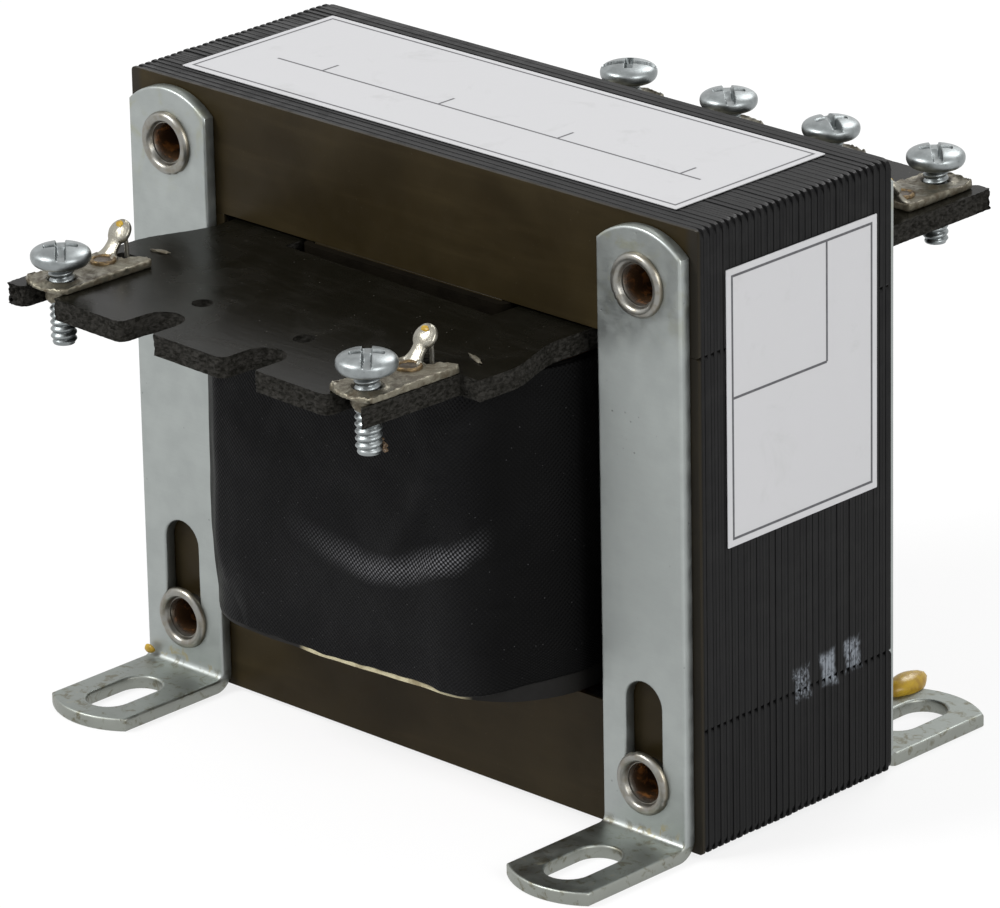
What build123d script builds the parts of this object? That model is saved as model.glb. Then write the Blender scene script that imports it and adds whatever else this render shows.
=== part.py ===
import os

from build123d import *

# Open control transformer in millimetres. X runs along the core's wide face, Y through
# the pile of laminations and Z up from the mounting surface under the feet. The origin
# is on that surface, midway between the brackets, and the front is at minus Y.

# Laminations
leg_width = 28.575        # centre leg, which carries the coil
limb_width = 14.2875      # outer legs
yoke_height = 14.2875     # top and bottom yokes
window_width = 14.2875    # between the centre leg and an outer leg
window_height = 42.8625
stack = 31.0              # thickness of the whole pile
layer_count = 7           # groups of sheets, laid one way and the other in turn
joint_gap = 0.12          # butt joint between an E sheet and its I sheet
edge_stagger = 0.15       # how far every second group lies back from the outer edge
sheet_corner = 1.0        # rounding of the stamping's outer corners
core_lift = 0.5           # space under the core

# Eyelets through the corners of the core
eyelet_radius = 2.3
eyelet_wall = 0.35
eyelet_clearance = 0.1
eyelet_flange = 1.37      # width of the rolled flange outside the tube
eyelet_roll = 0.7         # height of the rolled flange

# Angle brackets
bracket_width = 12.1
bracket_thickness = 1.6
bracket_top = 0.75        # from the top of the core down to the bracket's end
bracket_arch = 2.4        # rise of the arched upper end
bend_radius = 0.8         # inside of the bend
foot_reach = 19.0         # from the core's face to the tip of the foot
foot_arch = 2.1           # rise of the arched tip
foot_slot_width = 5.3
foot_slot_length = 9.9
foot_slot_reach = 11.3    # from the core's face to the middle of the slot
height_slot_width = 5.3
height_slot_travel = 9.1  # how far the lower slot runs up from its eyelet

# Coil, in layers wound round the centre leg
former_clearance = 0.15
former_wall = 1.0
former_end_gap = 0.15     # from the former's ends to the yokes
primary_build = 5.4
insulation_wall = 0.6
secondary_build = 3.7
paper_wall = 0.75
cloth_wall = 0.75
layer_gap = 0.05          # between one layer of the coil and the next
winding_margin = 1.7      # bare former below the windings
winding_headroom = 1.7    # from the windings up to the boards
lead_room = 1.0           # from the wrap up to the boards, where the leads pass out
cloth_hem = 0.6           # from the window's floor to the cloth's lower edge

# Terminal boards. Reach is the distance outwards from the core's face.
board_thickness = 2.4
board_drop = 0.35         # from the window's top down to the board
board_half_width = 30.0
board_reach = 32.0
shoulder_start = 3.5      # reach at which the board begins to widen
shoulder_end = 13.5       # reach at which it has its full width
prong_outer = 27.2        # half width over the two prongs
prong_inner = 16.2        # half width between them
prong_depth = 13.9        # how far the prongs go into the windows
fork_reach = 2.9          # reach of the board's inner edge
notch_radius = 2.4
front_trim = 3.0          # strip cut off one corner of the front board
front_trim_reach = 18.0
front_skew = 2.2          # degrees by which the front board sits turned

# Terminals, at their places on a board
terminal_count = 4
front_pitch = 16.2
front_shift = 0.4         # row of terminals off the middle of the board
rear_pitch = 15.6
rear_shift = 1.3
screw_reach = 28.3
plate_width = 6.7
plate_shift = 0.35        # plate's middle off its screw
plate_thickness = 0.9
plate_overhang = 2.9      # from the screw's middle to the plate's arched end
plate_inner_reach = 17.4
plate_arch = 0.7          # rise of the arched outer end
lance_reach = 19.5        # edge from which the solder tab is lanced and bent up
lance_side = -0.3         # side of the lanced corner, off the screw
lance_taper = 1.2         # by which the remaining tongue narrows to its end
collar_wall = 0.35        # tapped collar drawn down round the screw
collar_depth = 1.5
thread_clearance = 0.05
rivet_reach = 21.7
rivet_shift = 0.7
rivet_hole = 1.05         # open only where a place has no terminal
tab_reach = 20.0
tab_shift = 1.8
tab_foot_width = 3.2
tab_foot_length = 1.1     # over which the tab narrows to its neck
tab_width = 1.8
tab_length = 2.8          # from the plate to the middle of the tab's round head
tab_lean = 40.0           # degrees from upright, towards the core
tab_thickness = 0.6
tab_head_radius = 1.5
tab_eye_shift = 0.3       # eye off the middle of the head, towards its tip
tab_hole_radius = 0.65

# Terminal screws
screw_radius = 1.45
screw_length = 9.0
screw_stand = 1.5         # head above the plate, ready to take a wire
head_radius = 3.35
head_height = 2.3
head_edge = 1.0           # height of the head's widest place
head_tuck = 0.9           # how far the head draws in below it
head_crown = 1.7          # radius of the nearly flat crown
crown_drop = 0.15
drive_width = 1.0
drive_depth = 0.9

# Leads from the windings to the solder tabs
lead_width = 0.5          # square wire
lead_slot_width = 1.1
lead_slot_length = 2.6
lead_rise_reach = 17.3    # reach at which a lead rises through its board
lead_share = 0.21         # of the centre leg's width, from one lead to the next
lead_end = 0.7            # how far a lead stands out of the tab's eye

# Labels
label_thickness = 0.12
top_label_length = 74.8
top_label_width = 23.8
top_label_shift = -0.9
side_label_width = 24.1
side_label_height = 31.5
side_label_shift = 0.8
side_label_drop = 5.45    # from the top of the core

# Places that follow from those sizes
core_width = leg_width + 2 * window_width + 2 * limb_width
face = stack / 2
layer_thickness = stack / layer_count
window_floor = core_lift + yoke_height
window_top = window_floor + window_height
core_top = window_top + yoke_height
corner_x = (core_width - limb_width) / 2
corner_low = core_lift + yoke_height / 2
corner_high = core_top - yoke_height / 2
eyelet_hole = eyelet_radius + eyelet_clearance
board_top = window_top - board_drop
board_bottom = board_top - board_thickness
plate_top = board_top + plate_thickness
plate_outer_reach = screw_reach + plate_overhang
winding_bottom = window_floor + winding_margin
winding_top = board_bottom - winding_headroom
wrap_bottom = window_floor + former_end_gap
wrap_top = board_bottom - lead_room
thread_radius = screw_radius + thread_clearance
lead_spacing = lead_share * leg_width
middle_place = (terminal_count - 1) / 2
front_row = [front_shift + (place - middle_place) * front_pitch for place in range(terminal_count)]
rear_row = [rear_shift + (place - middle_place) * rear_pitch for place in range(terminal_count)]

# Terminals in their places along each board, and their screws' turns in degrees
front_terminals = ["front_right", None, None, "front_left"]
rear_terminals = ["rear_1", "rear_2", "rear_3", "rear_4"]
screw_turns = {"front_left": 137, "front_right": 134, "rear_1": 40, "rear_2": 137, "rear_3": 148, "rear_4": 136}

os.makedirs("parts", exist_ok=True)


def save(piece, name):
    """Label a finished piece and write it under that name."""
    piece.label = name
    export_step(piece, f"parts/{name}.step")


# Core


def sheet_plane(layer):
    """Front surface of one layer of the pile."""
    return Plane.XZ.offset(face - layer * layer_thickness)


def e_sheets(first, yoke_edge, up, inset):
    """Every second layer of E sheets, given the height of the yoke's outer edge."""
    height = yoke_height + window_height - joint_gap - inset
    with BuildPart() as pile:
        for layer in range(first, layer_count, 2):
            with BuildSketch(sheet_plane(layer)) as sheet:
                with Locations((0, yoke_edge + up * (inset + height / 2))):
                    Rectangle(core_width - 2 * inset, height)
                fillet(sheet.vertices().group_by(Axis.Y)[0 if up > 0 else -1], sheet_corner)
                with Locations((0, yoke_edge + up * (yoke_height + window_height / 2))):
                    with GridLocations(leg_width + window_width, 1, 2, 1):
                        Rectangle(window_width, window_height, mode=Mode.SUBTRACT)
                with Locations((0, yoke_edge + up * yoke_height / 2)):
                    with GridLocations(2 * corner_x, 1, 2, 1):
                        Circle(eyelet_hole, mode=Mode.SUBTRACT)
            extrude(amount=-layer_thickness)
    return pile.part


def i_sheets(first, outer_edge, up, inset):
    """The I sheets that close those E sheets, given the height of their outer edge."""
    height = yoke_height - inset
    with BuildPart() as pile:
        for layer in range(first, layer_count, 2):
            with BuildSketch(sheet_plane(layer)) as sheet:
                with Locations((0, outer_edge + up * (inset + height / 2))):
                    Rectangle(core_width - 2 * inset, height)
                fillet(sheet.vertices().group_by(Axis.Y)[0 if up > 0 else -1], sheet_corner)
                with Locations((0, outer_edge + up * yoke_height / 2)):
                    with GridLocations(2 * corner_x, 1, 2, 1):
                        Circle(eyelet_hole, mode=Mode.SUBTRACT)
            extrude(amount=-layer_thickness)
    return pile.part


save(e_sheets(0, core_lift, 1, 0), "upright_e_sheets")
save(i_sheets(0, core_top, -1, 0), "top_i_sheets")
save(e_sheets(1, core_top, -1, edge_stagger), "inverted_e_sheets")
save(i_sheets(1, core_lift, 1, edge_stagger), "bottom_i_sheets")


# Brackets and eyelets


def bracket(side, end):
    """Strap with arched ends, folded upright against the core and outwards as a foot."""
    x = side * corner_x
    half = bracket_width / 2
    bend_end = bracket_thickness + bend_radius
    bend_middle = (bend_end, bend_end)
    wall = Plane(origin=(x, end * face, bend_end), x_dir=(-end, 0, 0), z_dir=(0, end, 0))
    foot = Plane(origin=(x, end * (face + bend_end), 0), x_dir=(end, 0, 0), z_dir=(0, 0, 1))
    edge = Plane(origin=(x - half, end * face, 0), x_dir=(0, end, 0), z_dir=(end, 0, 0))
    wall_length = core_top - bracket_top - bend_end
    foot_length = foot_reach - bend_end
    with BuildPart() as strap:
        for plane, length, arch in ((wall, wall_length, bracket_arch), (foot, foot_length, foot_arch)):
            with BuildSketch(plane):
                with BuildLine():
                    Polyline((-half, length - arch), (-half, 0), (half, 0), (half, length - arch))
                    ThreePointArc((half, length - arch), (0, length), (-half, length - arch))
                make_face()
            extrude(amount=bracket_thickness)
        with BuildSketch(edge):
            with BuildLine():
                inner = CenterArc(bend_middle, bend_radius, 180, 90)
                outer = CenterArc(bend_middle, bend_end, 180, 90)
                Line(inner @ 0, outer @ 0)
                Line(inner @ 1, outer @ 1)
            make_face()
        extrude(amount=end * bracket_width)
        with BuildSketch(wall):
            with Locations((0, corner_high - bend_end)):
                Circle(eyelet_hole)
            with Locations((0, corner_low + height_slot_travel / 2 - bend_end)):
                SlotCenterToCenter(height_slot_travel, height_slot_width, rotation=90)
        extrude(amount=bracket_thickness, mode=Mode.SUBTRACT)
        with BuildSketch(foot):
            with Locations((0, foot_slot_reach - bend_end)):
                SlotOverall(foot_slot_length, foot_slot_width, rotation=90)
        extrude(amount=bracket_thickness, mode=Mode.SUBTRACT)
    return strap.part


def core_eyelet(x, z):
    """Tube through both brackets and the core, rolled over at its ends."""
    seat = face + bracket_thickness
    rolled_end = [
        (eyelet_radius - eyelet_wall, seat),
        (eyelet_radius, seat + eyelet_roll),
        (eyelet_radius + eyelet_flange, seat),
        (eyelet_radius, seat),
    ]
    other_end = [(radius, -y) for radius, y in reversed(rolled_end)]
    with BuildPart() as eyelet:
        with BuildSketch(Plane(origin=(x, 0, z), x_dir=(1, 0, 0), z_dir=(0, 0, 1))):
            with BuildLine():
                Polyline(rolled_end + other_end, close=True)
            make_face()
        revolve(axis=Axis((x, 0, z), (0, 1, 0)))
    return eyelet.part


for side_name, side in (("left", -1), ("right", 1)):
    for end_name, end in (("front", -1), ("rear", 1)):
        save(bracket(side, end), f"{end_name}_{side_name}_bracket")
    for level_name, level in (("lower", corner_low), ("upper", corner_high)):
        save(core_eyelet(side * corner_x, level), f"{level_name}_{side_name}_eyelet")


# Coil


def coil_layer(inside, wall, low, high):
    """One layer of the coil, at a distance from the centre leg all round."""
    outside = inside + wall
    with BuildPart() as ring:
        with BuildSketch(Plane.XY.offset(low)):
            RectangleRounded(leg_width + 2 * outside, stack + 2 * outside, outside)
            RectangleRounded(leg_width + 2 * inside, stack + 2 * inside, inside, mode=Mode.SUBTRACT)
        extrude(amount=high - low)
    return ring.part


primary_inside = former_clearance + former_wall + layer_gap
insulation_inside = primary_inside + primary_build + layer_gap
secondary_inside = insulation_inside + insulation_wall + layer_gap
paper_inside = secondary_inside + secondary_build + layer_gap
cloth_inside = paper_inside + paper_wall + layer_gap
former_top = window_top - former_end_gap
cloth_bottom = window_floor + cloth_hem

save(coil_layer(former_clearance, former_wall, wrap_bottom, former_top), "coil_former")
save(coil_layer(primary_inside, primary_build, winding_bottom, winding_top), "primary_winding")
save(coil_layer(insulation_inside, insulation_wall, wrap_bottom, wrap_top), "winding_insulation")
save(coil_layer(secondary_inside, secondary_build, winding_bottom, winding_top), "secondary_winding")
save(coil_layer(paper_inside, paper_wall, wrap_bottom, wrap_top), "paper_wrap")
save(coil_layer(cloth_inside, cloth_wall, cloth_bottom, wrap_top), "cloth_cover")


# Terminal boards, each drawn with x sideways and y outwards from the core's face


def board_plane(end, height):
    """Level plane of one end's board, turned by the skew at the front."""
    across = Vector(end, 0, 0).rotate(Axis.Z, -front_skew if end < 0 else 0)
    return Plane(origin=(0, end * face, height), x_dir=across, z_dir=(0, 0, 1))


def terminal_board(end):
    """Flat board with two prongs in the windows and open notches for its screws."""
    notch_length = board_reach - screw_reach
    with BuildPart() as board:
        with BuildSketch(board_plane(end, board_bottom)):
            with BuildLine():
                Polyline(
                    (0, fork_reach),
                    (prong_inner, fork_reach),
                    (prong_inner, -prong_depth),
                    (prong_outer, -prong_depth),
                    (prong_outer, shoulder_start),
                )
                Spline(
                    (prong_outer, shoulder_start),
                    (board_half_width, shoulder_end),
                    tangents=((0, 1), (0, 1)),
                )
                Polyline((board_half_width, shoulder_end), (board_half_width, board_reach), (0, board_reach))
                mirror(about=Plane.YZ)
            make_face()
            for x, name in zip(*((front_row, front_terminals) if end < 0 else (rear_row, rear_terminals))):
                with Locations((x, screw_reach)):
                    Circle(notch_radius, mode=Mode.SUBTRACT)
                with Locations((x, screw_reach + notch_length / 2)):
                    Rectangle(2 * notch_radius, notch_length, mode=Mode.SUBTRACT)
                if name:
                    with Locations((x + tab_shift, lead_rise_reach)):
                        Rectangle(lead_slot_length, lead_slot_width, mode=Mode.SUBTRACT)
                else:
                    with Locations((x + rivet_shift, rivet_reach)):
                        Circle(rivet_hole, mode=Mode.SUBTRACT)
            if end < 0:
                with Locations((-board_half_width + front_trim / 2, (front_trim_reach + board_reach) / 2)):
                    Rectangle(front_trim, board_reach - front_trim_reach, mode=Mode.SUBTRACT)
        extrude(amount=board_thickness)
    return board.part


save(terminal_board(-1), "front_terminal_board")
save(terminal_board(1), "rear_terminal_board")


# Terminals


def tilted(plane, x, y, z, angle):
    """Plane at a point of another one, turned about that plane's own x direction."""
    return Plane(plane.location * Location((x, y, z), (angle, 0, 0)))


def terminal_plate(end, x):
    """Arched plate with a tapped collar for the screw and a leaning solder tab."""
    near = x + plate_shift - plate_width / 2
    far = x + plate_shift + plate_width / 2
    lanced = x + lance_side
    with BuildPart() as plate:
        with BuildSketch(board_plane(end, board_top)):
            with BuildLine():
                Polyline(
                    (near, plate_outer_reach - plate_arch),
                    (near, plate_inner_reach),
                    (lanced - lance_taper, plate_inner_reach),
                    (lanced, plate_inner_reach + lance_taper),
                    (lanced, lance_reach),
                    (far, lance_reach),
                    (far, plate_outer_reach - plate_arch),
                )
                ThreePointArc(
                    (far, plate_outer_reach - plate_arch),
                    ((near + far) / 2, plate_outer_reach),
                    (near, plate_outer_reach - plate_arch),
                )
            make_face()
        extrude(amount=plate_thickness)
        with BuildSketch(board_plane(end, board_top)):
            with Locations((x, screw_reach)):
                Circle(thread_radius + collar_wall)
        extrude(amount=-collar_depth)
        with BuildSketch(tilted(board_plane(end, plate_top), x + tab_shift, tab_reach, 0, 90 + tab_lean)):
            with BuildLine():
                Polyline(
                    (0, -tab_thickness),
                    (tab_foot_width / 2, -tab_thickness),
                    (tab_foot_width / 2, 0),
                    (tab_width / 2, tab_foot_length),
                    (tab_width / 2, tab_length),
                    (0, tab_length),
                )
                mirror(about=Plane.YZ)
            make_face()
            with Locations((0, tab_length)):
                Circle(tab_head_radius)
            with Locations((0, tab_length + tab_eye_shift)):
                Circle(tab_hole_radius, mode=Mode.SUBTRACT)
        extrude(amount=tab_thickness / 2, both=True)
        with BuildSketch(board_plane(end, plate_top)):
            with Locations((x, screw_reach)):
                Circle(thread_radius)
        extrude(amount=-plate_thickness - collar_depth, mode=Mode.SUBTRACT)
    return plate.part


def terminal_screw(end, x, turn):
    """Slotted round head screw, standing ready for a wire."""
    upright = tilted(board_plane(end, plate_top + screw_stand), x, screw_reach, 0, 90)
    along = Vector(1, 0, 0).rotate(Axis.Z, turn)
    head_top = Plane(origin=upright.origin + Vector(0, 0, head_height), x_dir=along, z_dir=(0, 0, 1))
    with BuildPart() as screw:
        with BuildSketch(upright):
            with BuildLine():
                Polyline(
                    (0, head_height),
                    (head_crown, head_height - crown_drop),
                    (head_radius, head_edge),
                    (head_radius - head_tuck, 0),
                    (screw_radius, 0),
                    (screw_radius, -screw_length),
                    (0, -screw_length),
                    close=True,
                )
            make_face()
        revolve(axis=Axis(upright.origin, (0, 0, 1)))
        with BuildSketch(head_top):
            Rectangle(2 * head_radius, drive_width)
        extrude(amount=-drive_depth, mode=Mode.SUBTRACT)
    return screw.part


def lead(end, x, start_x, start_reach):
    """Lead from the top of a winding, out under the board and up into the solder tab."""
    run_height = board_bottom - lead_room / 2
    eye = tilted(board_plane(end, plate_top), x + tab_shift, tab_reach, 0, 90 + tab_lean).location
    eye_plane = Plane(eye * Location((0, tab_length + tab_eye_shift, 0)))
    level = board_plane(end, 0)
    through = eye_plane.z_dir if eye_plane.z_dir.Z > 0 else -eye_plane.z_dir
    rise = level.from_local_coords((x + tab_shift, lead_rise_reach, 0))
    back = eye_plane.origin - through * (
        Vector(eye_plane.origin.X - rise.X, eye_plane.origin.Y - rise.Y, 0).length
        / Vector(through.X, through.Y, 0).length
    )
    with BuildPart() as wire:
        with BuildLine():
            route = Polyline(
                level.from_local_coords((start_x, start_reach, winding_top)),
                level.from_local_coords((start_x, start_reach, run_height)),
                rise + Vector(0, 0, run_height),
                back,
                eye_plane.origin + through * lead_end,
            )
        with BuildSketch(Plane(origin=route @ 0, x_dir=level.x_dir, z_dir=route % 0)):
            Rectangle(lead_width, lead_width)
        sweep(transition=Transition.RIGHT)
    return wire.part


primary_middle = primary_inside + primary_build / 2
secondary_middle = secondary_inside + secondary_build / 2
for end, row, names in ((-1, front_row, front_terminals), (1, rear_row, rear_terminals)):
    for place, name in enumerate(names):
        if not name:
            continue
        x = row[place]
        start_x = lead_spacing * (place - middle_place)
        start_reach = secondary_middle if end < 0 else primary_middle
        save(terminal_plate(end, x), f"{name}_terminal_plate")
        save(terminal_screw(end, x, screw_turns[name]), f"{name}_terminal_screw")
        save(lead(end, x, start_x, start_reach), f"{name}_lead")


# Labels

with BuildPart() as top_label:
    with BuildSketch(Plane.XY.offset(core_top)):
        with Locations((top_label_shift, 0)):
            Rectangle(top_label_length, top_label_width)
    extrude(amount=label_thickness)
save(top_label.part, "top_label")

with BuildPart() as side_label:
    with BuildSketch(Plane.YZ.offset(core_width / 2)):
        with Locations((side_label_shift, core_top - side_label_drop - side_label_height / 2)):
            Rectangle(side_label_width, side_label_height)
    extrude(amount=label_thickness)
save(side_label.part, "side_label")
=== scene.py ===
"""Open control transformer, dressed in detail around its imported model.

Shapes are worked out in millimetres in the frame of the model (X along the wide face of
the core, Y through the pile of sheets, Z up) and go into their meshes in metres.
"""

import logging
import math
from collections.abc import Callable, Sequence
from dataclasses import dataclass
from enum import Enum

import bmesh
import bpy
import numpy as np
from mathutils import Matrix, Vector
from mathutils.geometry import delaunay_2d_cdt


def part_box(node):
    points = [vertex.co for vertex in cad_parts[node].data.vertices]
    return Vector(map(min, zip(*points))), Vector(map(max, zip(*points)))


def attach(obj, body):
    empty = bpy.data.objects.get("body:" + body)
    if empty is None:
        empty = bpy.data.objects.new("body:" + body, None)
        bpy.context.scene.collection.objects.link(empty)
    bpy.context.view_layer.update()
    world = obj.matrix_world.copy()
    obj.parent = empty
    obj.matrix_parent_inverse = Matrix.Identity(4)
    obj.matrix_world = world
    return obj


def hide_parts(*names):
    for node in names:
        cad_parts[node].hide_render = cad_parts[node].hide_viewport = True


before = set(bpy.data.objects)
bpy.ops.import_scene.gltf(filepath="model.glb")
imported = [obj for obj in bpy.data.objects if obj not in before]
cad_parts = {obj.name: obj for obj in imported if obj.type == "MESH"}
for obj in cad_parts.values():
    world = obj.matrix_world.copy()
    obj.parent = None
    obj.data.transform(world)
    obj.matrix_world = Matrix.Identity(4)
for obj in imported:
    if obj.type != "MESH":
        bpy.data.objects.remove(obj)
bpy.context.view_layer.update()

MM = 0.001
FRAME_BODY = "frame"
MAP = "wrap"
WELD = 0.001
log = logging.getLogger("transformer")

Array = np.ndarray
Loops = Sequence[np.ndarray]
Triple = tuple[float, float, float]
Pair = tuple[float, float]
Quad = tuple[float, float, float, float]
Rule = tuple[bool, float, float, float]
Drop = tuple[Triple, Triple]

# Places that several pieces share, in millimetres

CORE_FACE = 15.5
HOLE_X = 35.71875
HOLE_LEVELS = (7.64375, 64.79375)
HOLE_RADIUS = 2.4
BOARD_TOP = 57.3
BOARD_THICKNESS = 2.4
SCREW_REACH = 28.3
RIVET_PLACE = (0.7, 21.7)
LEAD_REACH = 17.3
TAB_SHIFT = 1.8


# Shader expressions


def math_method(operation: str, reflected: bool = False) -> Callable[["Value", object], "Value"]:
    """Method that joins a socket and another value in a Math node.

    Args:
        operation: The node's operation.
        reflected: Whether the other value goes first.

    Returns:
        The method.
    """

    def method(self: "Value", other: object = 0.0) -> "Value":
        """Math node of the two values."""
        first, second = (other, self) if reflected else (self, other)
        return self.bench.node("ShaderNodeMath", {"operation": operation}, {0: first, 1: second})

    return method


@dataclass(frozen=True, eq=False)
class Value:
    """A shader socket that can be used in sums, products and comparisons."""

    bench: "Bench"
    socket: bpy.types.NodeSocket

    __add__ = math_method("ADD")
    __radd__ = math_method("ADD", reflected=True)
    __sub__ = math_method("SUBTRACT")
    __rsub__ = math_method("SUBTRACT", reflected=True)
    __mul__ = math_method("MULTIPLY")
    __rmul__ = math_method("MULTIPLY", reflected=True)
    __truediv__ = math_method("DIVIDE")
    __abs__ = math_method("ABSOLUTE")
    most = math_method("MAXIMUM")
    least = math_method("MINIMUM")
    sine = math_method("SINE")

    def rise(self, low: float, high: float) -> "Value":
        """Smooth step from 0 at low to 1 at high; high below low makes it fall.

        Args:
            low: Where the step is 0.
            high: Where it is 1.

        Returns:
            The step.
        """
        flipped = high < low
        inputs = {0: self, 1: min(low, high), 2: max(low, high), 3: float(flipped), 4: float(not flipped)}
        return self.bench.node("ShaderNodeMapRange", {"interpolation_type": "SMOOTHSTEP"}, inputs)


class Bench:
    """Node tree, with short ways to add what a finish needs."""

    def __init__(self, tree: bpy.types.NodeTree) -> None:
        """Work on a node tree."""
        self.tree = tree

    def node(
        self,
        kind: str,
        settings: dict[str, object] | None = None,
        inputs: dict[int | str, object] | None = None,
        output: int | str = 0,
    ) -> Value:
        """Add a node.

        Args:
            kind: Its type.
            settings: Its properties, set first.
            inputs: Values or links of its sockets, by name or number.
            output: The socket to return.

        Returns:
            The chosen output.
        """
        node = self.tree.nodes.new(kind)
        for name, setting in (settings or {}).items():
            setattr(node, name, setting)
        for key, value in (inputs or {}).items():
            self.feed(node.inputs[key], value)
        return Value(self, node.outputs[output])

    def feed(self, socket: bpy.types.NodeSocket, value: object) -> None:
        """Link a value to a socket, or write a plain number or colour on it.

        Args:
            socket: Socket of a node.
            value: What it gets.
        """
        if isinstance(value, Value):
            self.tree.links.new(value.socket, socket)
        elif isinstance(value, tuple) and len(value) == 3 and socket.type == "RGBA":
            socket.default_value = (*value, 1.0)
        else:
            socket.default_value = value

    def mirrored(self) -> Value:
        """1 where the camera, a reflection or clear material looks, 0 where light bounces.

        Returns:
            That mask.
        """
        names = ("Is Camera Ray", "Is Glossy Ray", "Is Transmission Ray")
        camera, glossy, clear = (self.node("ShaderNodeLightPath", output=name) for name in names)
        return camera.most(glossy).most(clear)


class FinishBench(Bench):
    """Node tree of one material, whose patterns read millimetres."""

    def __init__(self, name: str) -> None:
        """Start a material with one shader.

        Args:
            name: Name of the material.
        """
        material = bpy.data.materials.new(name)
        material.use_nodes = True
        super().__init__(material.node_tree)
        self.tree.nodes.clear()
        self.shader = self.tree.nodes.new("ShaderNodeBsdfPrincipled")
        self.output = self.tree.nodes.new("ShaderNodeOutputMaterial")
        self.tree.links.new(self.shader.outputs[0], self.output.inputs[0])
        place = self.node("ShaderNodeTexCoord", output="Object")
        self.place = self.stretched(place, (1.0 / MM,) * 3)

    def stretched(self, place: Value, factors: Triple) -> Value:
        """A place with each coordinate times its factor."""
        return self.node("ShaderNodeVectorMath", {"operation": "MULTIPLY"}, {0: place, 1: factors})

    def mix(self, amount: object, first: object, second: object) -> Value:
        """Blend of two colours."""
        return self.node("ShaderNodeMix", {"data_type": "RGBA"}, {0: amount, 6: first, 7: second}, 2)

    def layered(self, colour: object, *layers: tuple[Value, object]) -> Value:
        """Colour under layers, each a share and a colour, from the lowest up.

        Args:
            colour: Colour of the ground.
            layers: The layers.

        Returns:
            The colour on top.
        """
        for share, tone in layers:
            colour = self.mix(share, colour, tone)
        return colour

    def noise(
        self,
        size: float,
        detail: float = 3.0,
        rough: float = 0.55,
        warp: float = 0.0,
        stretch: Triple | None = None,
    ) -> Value:
        """Cloudy pattern about 0.5.

        Args:
            size: Width of its blotches in millimetres.
            detail: How many finer layers it has.
            rough: How strong the finer layers are.
            warp: How far it is twisted.
            stretch: Factors on the coordinates; a small one draws it out along its axis.

        Returns:
            The pattern's value.
        """
        place = self.stretched(self.place, stretch) if stretch else self.place
        layers = {"Detail": detail, "Roughness": rough, "Distortion": warp}
        return self.node("ShaderNodeTexNoise", {}, {"Vector": place, "Scale": 1.0 / size, **layers})

    def cells(self, size: float) -> Value:
        """Distance to the nearest of points scattered size millimetres apart."""
        return self.node("ShaderNodeTexVoronoi", {}, {"Vector": self.place, "Scale": 1.0 / size}, "Distance")

    def axis(self, index: int, of: Value | None = None) -> Value:
        """One coordinate, in millimetres."""
        return self.node("ShaderNodeSeparateXYZ", {}, {0: of or self.place}, index)

    def facing(self, index: int) -> Value:
        """One part of the surface's own direction."""
        return self.axis(index, self.node("ShaderNodeTexCoord", output="Normal"))

    def bump(self, height: Value, depth: float, strength: float = 1.0) -> Value:
        """Relief, with height 1 standing depth millimetres above height 0."""
        inputs = {"Strength": strength, "Distance": depth * MM, "Height": height}
        return self.node("ShaderNodeBump", {}, inputs)

    def done(self, **sockets: object) -> None:
        """Feed the shader's sockets, named with underscores."""
        for name, value in sockets.items():
            self.feed(self.shader.inputs[name.replace("_", " ")], value)


# Finishes


@dataclass(frozen=True)
class Finish:
    """A finish that is made once and shared by its pieces."""

    label: str = "finish"

    def material(self) -> bpy.types.Material:
        """Material of this finish, made at its first use.

        Returns:
            The material that all its pieces share.
        """
        if self.label not in bpy.data.materials:
            self.mixed()
        return bpy.data.materials[self.label]

    def mixed(self) -> None:
        """Build the material's nodes."""
        raise NotImplementedError


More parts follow.
